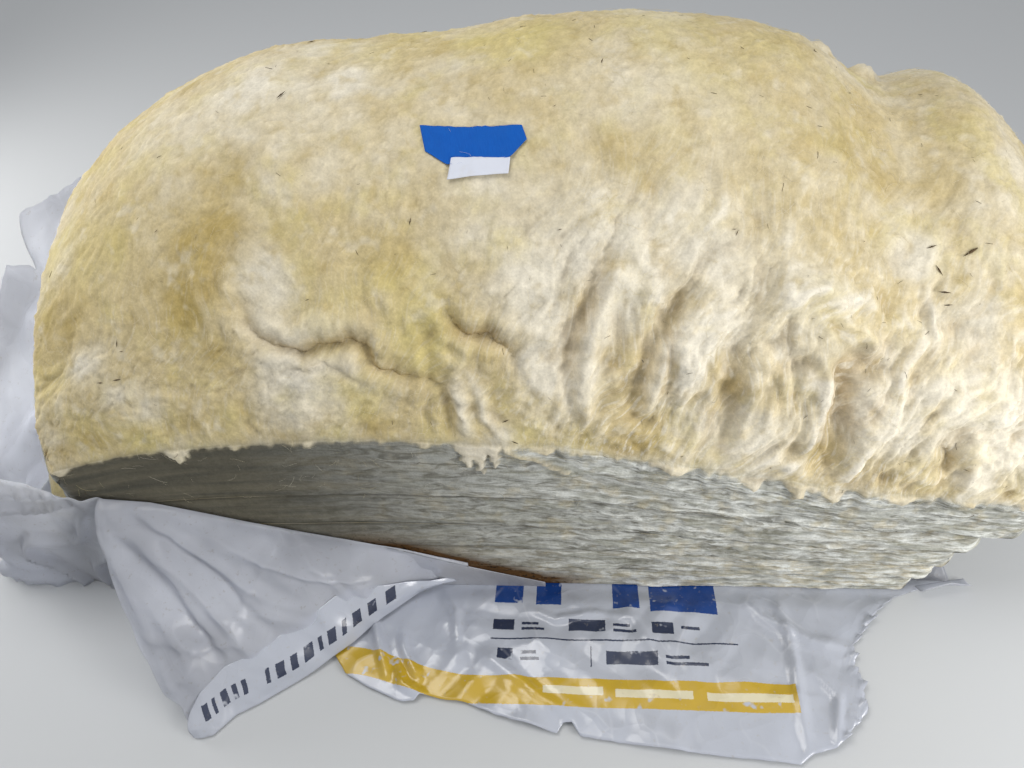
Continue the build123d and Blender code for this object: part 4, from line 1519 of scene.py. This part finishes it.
def panel_sheet(settings, noise):
    """The bag's bottom under the stack and its printed panel on the floor in front."""
    columns, rows, rows_under, columns_left = 200, 64, 12, 24
    grid = coons(PANEL_BACK, PANEL_RIGHT, PANEL_FRONT, PANEL_LEFT, columns, rows)
    flat = grid.reshape(-1, 2)
    i, j = np.indices((columns + 1, rows + 1)).reshape(2, -1)
    ragged = np.exp(-np.minimum(j / 3.0, (columns - i) / 3.0))
    x, y = flat.T.copy()
    tear = noise.rough(xyz(x * 60, y * 60, 0.0), 4, 0.7)
    torn = ramp(x, 0.38, 0.44)
    x = x + ragged * tear * 0.008 * torn
    y = y + ragged * tear * (0.0006 + 0.0024 * torn)

    crumple = settings.crumple * 0.8
    wave = film_creases(xyz(x, y, 0.0), noise, crumple)
    lift = 0.0030 + (wave + crumple) * (1 - 0.7 * ramp(-x, 0.03, 0.10))
    plan = np.column_stack([x, y])
    for width, height, line in PANEL_FOLDS:
        lift += sharp_fold(plan, width, height, line, 0.04, 0.6)
    lift += 0.010 * ragged * np.clip(tear, 0, 1) * torn
    points = np.column_stack([x, y, BOTTOM + ramp(-y, 0.300, 0.330) * lift])
    uv = np.column_stack([flat[:, 0], flat[:, 1] - 0.034 * ramp(-flat[:, 0], 0.03, 0.20)])
    faces = grid_faces(columns, rows)
    printed = [True] * len(faces)

    cross = np.linspace(PANEL_BACK[0][1], HALF_WIDTH - 0.004, rows_under + 1)
    ends = np.linspace(BOTTOM_LEFT, PANEL_BACK[0][0], columns_left + 1)
    for along in (grid[:, -1, 0], ends):
        under = np.array([(px, py, BOTTOM) for px in along for py in cross])
        faces += grid_faces(len(along) - 1, rows_under, len(points))
        points, uv = np.vstack([points, under]), np.vstack([uv, under[:, :2]])
    printed += [False] * (len(faces) - len(printed))
    return points, faces, uv, printed


def bag_left(height):
    """X of the film round the left end at a height."""
    return -0.730 + 0.117 * np.minimum(height, 0.412) / 0.412 - 0.012 * np.exp(-height / 0.015)


def collar_top(kind, t):
    """Height of the collar's upper edge and how far it stands out, at a place on a run."""
    if kind == "lip":
        return np.interp(t, LIP[:, 0], LIP[:, 1]), 0.0
    if kind == "side":
        return 0.208 + 0.043 * min(t / 0.75, 1), 0.0
    if kind == "corner":
        return 0.251, 0.0
    if kind == "end":
        y = -HALF_WIDTH + COLLAR_RADIUS + t * 2 * (HALF_WIDTH - COLLAR_RADIUS)
        return tuple(np.interp(y, TORN_END[:, 0], TORN_END[:, k]) for k in (1, 2))
    if kind == "far_lip":
        return np.interp(t, [LIP[0, 0], 0.095], [0.300, 0.002]), 0.0
    return 0.300, 0.0


def collar_place(kind, t, height):
    """Where the collar stands on plan, and the way out from it, at a place on a run."""
    wall = HALF_WIDTH + COLLAR_GAP
    radius = COLLAR_RADIUS
    left = float(bag_left(height))
    sign = 1 if kind.startswith("far") else -1
    if kind.endswith("lip"):
        return (t, sign * wall), (0.0, sign)
    if kind == "end":
        return (left, -wall + radius + t * 2 * (wall - radius)), (-1.0, 0.0)
    part = t if sign < 0 else 1 - t
    if kind.endswith("side"):
        return (LIP[0, 0] + part * (left + radius - LIP[0, 0]), sign * wall), (0.0, sign)
    turn = part * math.pi / 2
    out = (-math.sin(turn), sign * math.cos(turn))
    return (left + radius + radius * out[0], sign * (wall - radius) + radius * out[1]), out


def collar_sheet(settings, noise):
    """Film that stands round the left end, with its lip along the front and the back."""
    lip_x = np.linspace(LIP[-1, 0], LIP[0, 0], LIP_COLUMNS + 1)
    runs = [("lip", lip_x)]
    for kind, count in COLLAR_RUNS:
        runs.append((kind, np.linspace(0, 1, count + 1)[1:]))
    runs.append(("far_lip", lip_x[::-1][1:]))
    points, uv, outward, share, walked = [], [], [], [], 0.0
    before = None
    for kind, steps in runs:
        for t in steps:
            height, flare = collar_top(kind, t)
            for s in np.linspace(0, 1, COLLAR_ROWS + 1):
                h = 0.0008 + s * (height - 0.0008)
                place, out = collar_place(kind, t, h)
                px, py = (at + way * flare * s**6 for at, way in zip(place, out))
                points.append((px, py, h))
                outward.append(out)
                share.append(s)
                if s == 0:
                    walked += 0.0 if before is None else math.dist(place, before)
                    before = place
                uv.append((PLAIN_UV + walked, h))
    points, outward, share = np.array(points), np.array(outward), np.array(share)

    loose = ramp(-points[:, 0], 0.485, 0.515)
    fold = film_creases(points * np.array([1, 1, 0.8]), noise, settings.crumple)
    slant = points[:, 1] + points[:, 2] * 1.2
    drape = np.sin(slant * 30 + 3 * noise(points * 5)) * 0.007 * np.sin(share * math.pi) ** 0.7
    knot = points - np.array([LIP[0, 0], -(HALF_WIDTH + COLLAR_GAP), LIP[0, 1]])
    reach = np.hypot(knot[:, 0], knot[:, 2])
    angle = np.arctan2(-knot[:, 2] + 0.02, -knot[:, 0] + 0.01) + 0.5 * noise(points * 9)
    pleat = (1 - np.abs(np.sin(angle * 7.5)) * 2.0) * 0.012 * ramp(reach, 0.0, 0.10)
    pleat *= outward[:, 1] < -0.2
    end_face = np.clip(-outward[:, 0], 0, 1)
    swell = np.clip(fold + 0.004, 0, 1) * 0.9 + end_face * (drape + fold * 0.4)
    out = 0.0004 + loose * (swell + np.clip(pleat, -0.002, 1) + 0.002)
    points[:, :2] += outward * out[:, None]
    beyond_lip = np.arange(len(points)) > LIP_COLUMNS * (COLLAR_ROWS + 1)
    frayed = share**10 * noise.rough(points * 40, 3) * 0.004
    points[:, 2] += frayed * beyond_lip * (share > 0.2)
    columns = sum(len(steps) for _, steps in runs)
    return points, grid_faces(columns - 1, COLLAR_ROWS), np.array(uv)


def flap_sheet(collar, settings, noise):
    """The flap that hangs from the front lip, its foot turned over into a printed strip."""
    drop_rows, curl_rows, strip_rows = 60, 6, 24
    rows = drop_rows + curl_rows + strip_rows
    lip_points = collar[: (LIP_COLUMNS + 1) * (COLLAR_ROWS + 1)]
    lip = lip_points.reshape(LIP_COLUMNS + 1, COLLAR_ROWS + 1, 3)[:, -1]
    lip_x = np.linspace(LIP[-1, 0], LIP[0, 0], LIP_COLUMNS + 1)
    hung = lip_x < FLAP_FOOT[-1, 0]
    lip, lip_x = lip[hung], lip_x[hung]
    columns = len(lip_x) - 1
    foot_x, foot_y, widths = (np.interp(lip_x, FLAP_FOOT[:, 0], FLAP_FOOT[:, k]) for k in (1, 2, 3))
    foot_z = 0.003 + 0.009 * ramp(foot_x, -0.26, -0.19)
    grid, uv = [], []
    for x, top, *foot, strip in zip(lip_x, lip, foot_x, foot_y, foot_z, widths):
        foot = np.array(foot)
        run = foot - top
        length = np.linalg.norm(run)
        edge = ramp(-x, 0.420, 0.485)
        for r in np.linspace(0, 1, drop_rows + 1):
            p = top + run * r
            p[2] += 0.006 * math.sin(min(r * 10, 1) * math.pi) * (r < 0.1)
            bulge = math.sin(min(r * 1.15, 1) * math.pi) ** 0.8 if r < 0.87 else 0.0
            p += np.array([-0.024, -0.010, -0.004]) * edge * bulge
            p[2] += 0.010 * math.sin(r * math.pi) * (1 - edge)
            grid.append(p)
            uv.append((PLAIN_UV + x, r * length))
        back = -run / length
        side = np.array([0.25, -1.0, 0.55])
        side -= back * (side @ back)
        side /= np.linalg.norm(side)
        for q in np.linspace(0, 1, curl_rows + 1)[1:]:
            angle = q * math.pi
            bent = foot + side * 0.002 * (1 - math.cos(angle))
            grid.append(bent - back * 0.003 * math.sin(angle))
            uv.append((x, STRIP_UV - 0.02 + 0.02 * q))
        for q in np.linspace(0, 1, strip_rows + 1)[1:]:
            grid.append(foot + side * (0.004 + 0.004 * math.sin(q * math.pi)) + back * strip * q)
            uv.append((x, STRIP_UV + strip * q))
    points, uv = np.array(grid), np.array(uv)

    share = np.tile(np.concatenate([
        np.linspace(0, 1, drop_rows + 1), np.ones(curl_rows), np.linspace(1, 0.7, strip_rows),
    ]), columns + 1)
    turned = np.tile(np.arange(rows + 1) > drop_rows, columns + 1)
    knot = points - lip[-1]
    reach = np.linalg.norm(knot, axis=1)
    angle = np.arctan2(-knot[:, 1] - knot[:, 2] * 0.6, knot[:, 0] + 0.03)
    swing = angle * 9 + 1.6 * noise(points * 7)
    pleats = (1 - np.abs(np.sin(swing)) * 2.0) * 0.004 * ramp(reach, 0.02, 0.18)
    from_left = np.repeat(np.linspace(1, 0, columns + 1), rows + 1)
    spread_out = np.column_stack([from_left, share]) * FLAP_SIZE
    for width, height, line in FLAP_FOLDS:
        pleats += sharp_fold(spread_out, width, height, np.array(line) * FLAP_SIZE, 0.05, 0.4)
    covered = 0.7 * np.repeat(widths / 0.26, rows + 1)
    pleats *= ramp(1 - share, covered, covered + 0.2) * ramp(share, 0.0, 0.08)
    fold = film_creases(points, noise, settings.crumple * 1.3) * ramp(share, 0.02, 0.15)
    shift = (pleats * ~turned + fold * 0.8) * ramp(points[:, 2], 0.0, 0.03)
    points[:, 1] -= shift * 0.8
    points[:, 2] += shift * 0.45
    points[:, 2] = np.maximum(points[:, 2], 0.0012)
    on_strip = np.tile(np.arange(rows) >= drop_rows + curl_rows // 2, columns)
    return points, grid_faces(columns, rows, 0, flip=True), uv, list(on_strip)


def tip_sheet():
    """The small corner of film that sticks out under the right end."""
    columns, rows = 10, 10
    points, uv = [], []
    for i in range(columns + 1):
        for j in range(rows + 1):
            u, v = i / columns, j / rows
            x = 0.552 + 0.066 * u
            y = -0.290 - 0.016 * v + 0.012 * u
            z = 0.004 + 0.036 * v * (1 - 0.9 * abs(u - 0.5)) * (1 - 0.3 * u)
            points.append((x, y - 0.004 * math.sin(v * 3), z))
            uv.append((x, z))
    return np.array(points), grid_faces(columns, rows), np.array(uv) + PLAIN_UV


def strip_on_skin(name, wool, front, back, gap, thickness, columns, rows):
    """A thin strip laid on the skin between a front and a back edge: share along, X, Y."""
    shares = np.linspace(0, 1, columns + 1), np.linspace(0, 1, rows + 1)
    u, v = (part.reshape(-1, 1) for part in np.meshgrid(*shares, indexing="ij"))
    near, far = (
        np.column_stack([np.interp(u[:, 0], line[:, 0], line[:, k]) for k in (1, 2)])
        for line in (np.array(front), np.array(back))
    )
    plan = (1 - v) * near + v * far
    skin = skin_point(wool, plan[:, 0], plan[:, 1])[0][:, 2].reshape(columns + 1, rows + 1)
    lift = skin
    for _ in range(SMOOTHING):
        padded = np.pad(lift, 1, mode="edge")
        around = padded[2:, 1:-1] + padded[:-2, 1:-1] + padded[1:-1, 2:] + padded[1:-1, :-2]
        lift = np.maximum(around / 4, skin)
    piece = new_piece(
        name, np.column_stack([plan, lift.ravel() + gap]), grid_faces(columns, rows))
    size = np.linalg.norm(far[-1] - far[0]), np.linalg.norm(far[0] - near[0])
    set_uv(piece, np.hstack([u, v]) * size)
    thicken(piece, thickness, 1.0)
    return piece


# ---------------------------------------------------------------- operators


def finished_wool():
    wool = bpy.data.objects.get("batt_5_wool")
    if wool is None:
        raise RuntimeError("make the batts first")
    return wool


class STACK_OT_stage(bpy.types.Operator):
    """Make the floor, the lamps and the camera."""

    bl_idname = "stack.stage"
    bl_label = "Stage"

    def execute(self, context):
        settings = context.scene.batt_stage
        scene = context.scene
        scene.view_settings.view_transform = "Standard"
        turns = ((-1, -1), (1, -1), (1, 1), (-1, 1))
        corners = [(x * FLOOR_REACH, y * FLOOR_REACH, -FLOOR_DROP) for x, y in turns]
        floor = new_piece("floor", corners, [(0, 1, 2, 3)])
        floor.data.materials.append(floor_material(settings))

        world = bpy.data.worlds.new("soft_light")
        world.use_nodes = True
        scene.world = world
        tree = Tree(world.node_tree)
        background = world.node_tree.nodes["Background"]
        path = tree.add("ShaderNodeLightPath").outputs
        mirrored = tree.math("MAXIMUM", path["Is Glossy Ray"], path["Is Transmission Ray"])
        seen = tree.math("MAXIMUM", path["Is Camera Ray"], mirrored)
        tree.put((0.97, 0.985, 1.0), background.inputs["Color"])
        tree.put(tree.span(seen, 0.0, 1.0, settings.world, 0.9), background.inputs["Strength"])

        for name, place, size, share in LAMPS:
            lamp = bpy.data.lights.new(name, "AREA")
            lamp.shape = "DISK"
            lamp.size = size
            lamp.energy = settings.lamp * share
            lamp.color = (1.0, 0.985, 0.96)
            holder = bpy.data.objects.new(name, lamp)
            holder.location = place
            aim = Vector(LAMPS_AIM) - Vector(place)
            holder.rotation_euler = aim.to_track_quat("-Z", "Y").to_euler()
            scene.collection.objects.link(holder)

        view = bpy.data.cameras.new("camera")
        view.lens = settings.lens
        view.sensor_width = SENSOR_WIDTH
        view.clip_start = 0.01
        camera = bpy.data.objects.new("camera", view)
        scene.collection.objects.link(camera)
        level = Vector(CAMERA_LEVEL).normalized()
        ahead = Vector((-level.y, level.x, 0.0))
        up = Vector((0.0, 0.0, 1.0))
        pitch, roll = settings.pitch, settings.roll
        look = math.cos(pitch) * ahead - math.sin(pitch) * up
        down = -math.sin(pitch) * ahead - math.cos(pitch) * up
        side = math.cos(roll) * level + math.sin(roll) * down
        above = math.sin(roll) * level - math.cos(roll) * down
        rows = zip(side, above, -look, settings.eye)
        camera.matrix_world = Matrix((*rows, (0, 0, 0, 1)))
        scene.camera = camera
        return {"FINISHED"}


class STACK_OT_batts(bpy.types.Operator):
    """Make the five batts of glass wool."""

    bl_idname = "stack.batts"
    bl_label = "Batts"

    def execute(self, context):
        settings = context.scene.batt_wool
        fibres = bpy.data.node_groups.get("matted_fibres") or fibre_group()
        material = wool_material(settings, fibres)
        for number in range(len(SHARES)):
            piece = shape_batt(number, settings, Noise(WOOL_SEED + number))
            piece.data.materials.append(material)
            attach(piece, "root")
            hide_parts(f"batt_{number + 1}")
        return {"FINISHED"}


class STACK_OT_film(bpy.types.Operator):
    """Make the torn film bag under and round the stack."""

    bl_idname = "stack.film"
    bl_label = "Film bag"

    def execute(self, context):
        settings = context.scene.batt_film
        noise = Noise(FILM_SEED)
        collar = collar_sheet(settings, noise)
        points, faces, uv, printed = [], [], [], []
        for sheet, sheet_faces, sheet_uv, *inked in (
            collar,
            flap_sheet(collar[0], settings, noise),
            panel_sheet(settings, noise),
            tip_sheet(),
        ):
            base = sum(map(len, points))
            points.append(sheet)
            uv.append(sheet_uv)
            faces += [tuple(base + k for k in face) for face in sheet_faces]
            printed += inked[0] if inked else [False] * len(sheet_faces)
        piece = new_piece("wrapper_film", np.vstack(points), faces)
        set_uv(piece, np.vstack(uv))
        crumples = crumple_group()
        for name, inked in (("film_plain", False), ("film_printed", True)):
            piece.data.materials.append(film_material(name, settings, crumples, inked))
        piece.data.polygons.foreach_set("material_index", np.array(printed, np.int32))
        weld = piece.modifiers.new("weld", "WELD")
        weld.merge_threshold = 0.00005
        thicken(piece, settings.thickness, 0.0)
        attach(piece, "root")
        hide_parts("wrapper")
        return {"FINISHED"}


class STACK_OT_tape(bpy.types.Operator):
    """Make the strip of tape and the paper tag on the top batt."""

    bl_idname = "stack.tape"
    bl_label = "Tape and tag"

    def execute(self, context):
        settings = context.scene.batt_tape
        wool = finished_wool()
        grain = grain_group()
        tape = strip_on_skin(
            "crepe_strip", wool, TAPE_FRONT, TAPE_BACK, settings.tape_gap, TAPE_THICK, *TAPE_CELLS)
        tape.data.materials.append(tape_material(settings, grain))
        tag = strip_on_skin(
            "paper_label", wool, TAG_FRONT, TAG_BACK, settings.tag_gap, TAG_THICK, *TAG_CELLS)
        tag.data.materials.append(paper_material(settings, grain))
        for piece, node, slot, flat, below in (
            (tape, "tape_strip", "blue_tape", (0.106, 0.042), "batt_5_wool"),
            (tag, "paper_tag", "white_paper", (0.064, 0.022), "crepe_strip"),
        ):
            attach(piece, "root")
            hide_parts(node)
        return {"FINISHED"}


class STACK_OT_loose_bits(bpy.types.Operator):
    """Scatter loose fibres, and bits of straw and dirt, over the wool."""

    bl_idname = "stack.loose_bits"
    bl_label = "Loose fibres and dirt"

    def execute(self, context):
        settings = context.scene.batt_wool
        wool = finished_wool()
        fibres = bpy.data.node_groups["matted_fibres"]
        hair, straw = fibre_material(settings, fibres), speck_material(fibres)
        hairs = scatter(
            "loose_fibres", wool, settings.fibres, HAIR_SIZES, HAIR_BENDS, HAIR_SEED, hair)
        dirt = scatter(
            "straw_bits", wool, settings.specks, DIRT_SIZES, DIRT_BENDS, DIRT_SEED, straw)
        bits = straw_pieces(wool)
        bits.data.materials.append(straw)
        for piece in (hairs, dirt, bits):
            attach(piece, "root")
        return {"FINISHED"}


class STACK_PT_panel(bpy.types.Panel):
    """Lists what the stack is made of."""

    bl_idname = "STACK_PT_panel"
    bl_label = "Batt Stack"
    bl_space_type = "VIEW_3D"
    bl_region_type = "UI"
    bl_category = "Batt Stack"

    def draw(self, context):
        for name in ("stage", "batts", "tape", "film", "loose_bits"):
            self.layout.operator("stack." + name)


GROUPS = {
    "batt_wool": WoolSettings,
    "batt_film": FilmSettings,
    "batt_tape": TapeSettings,
    "batt_stage": StageSettings,
}
CLASSES = [
    *GROUPS.values(), STACK_OT_stage, STACK_OT_batts, STACK_OT_tape, STACK_OT_film,
    STACK_OT_loose_bits, STACK_PT_panel,
]


def register():
    for kind in CLASSES:
        bpy.utils.register_class(kind)
    for name, kind in GROUPS.items():
        setattr(bpy.types.Scene, name, PointerProperty(type=kind))


def unregister():
    for name in GROUPS:
        delattr(bpy.types.Scene, name)
    for kind in reversed(CLASSES):
        bpy.utils.unregister_class(kind)


def main():
    register()
    bpy.ops.stack.stage()
    bpy.ops.stack.batts()
    bpy.ops.stack.tape()
    bpy.ops.stack.film()
    bpy.ops.stack.loose_bits()


if __name__ == "__main__":
    main()
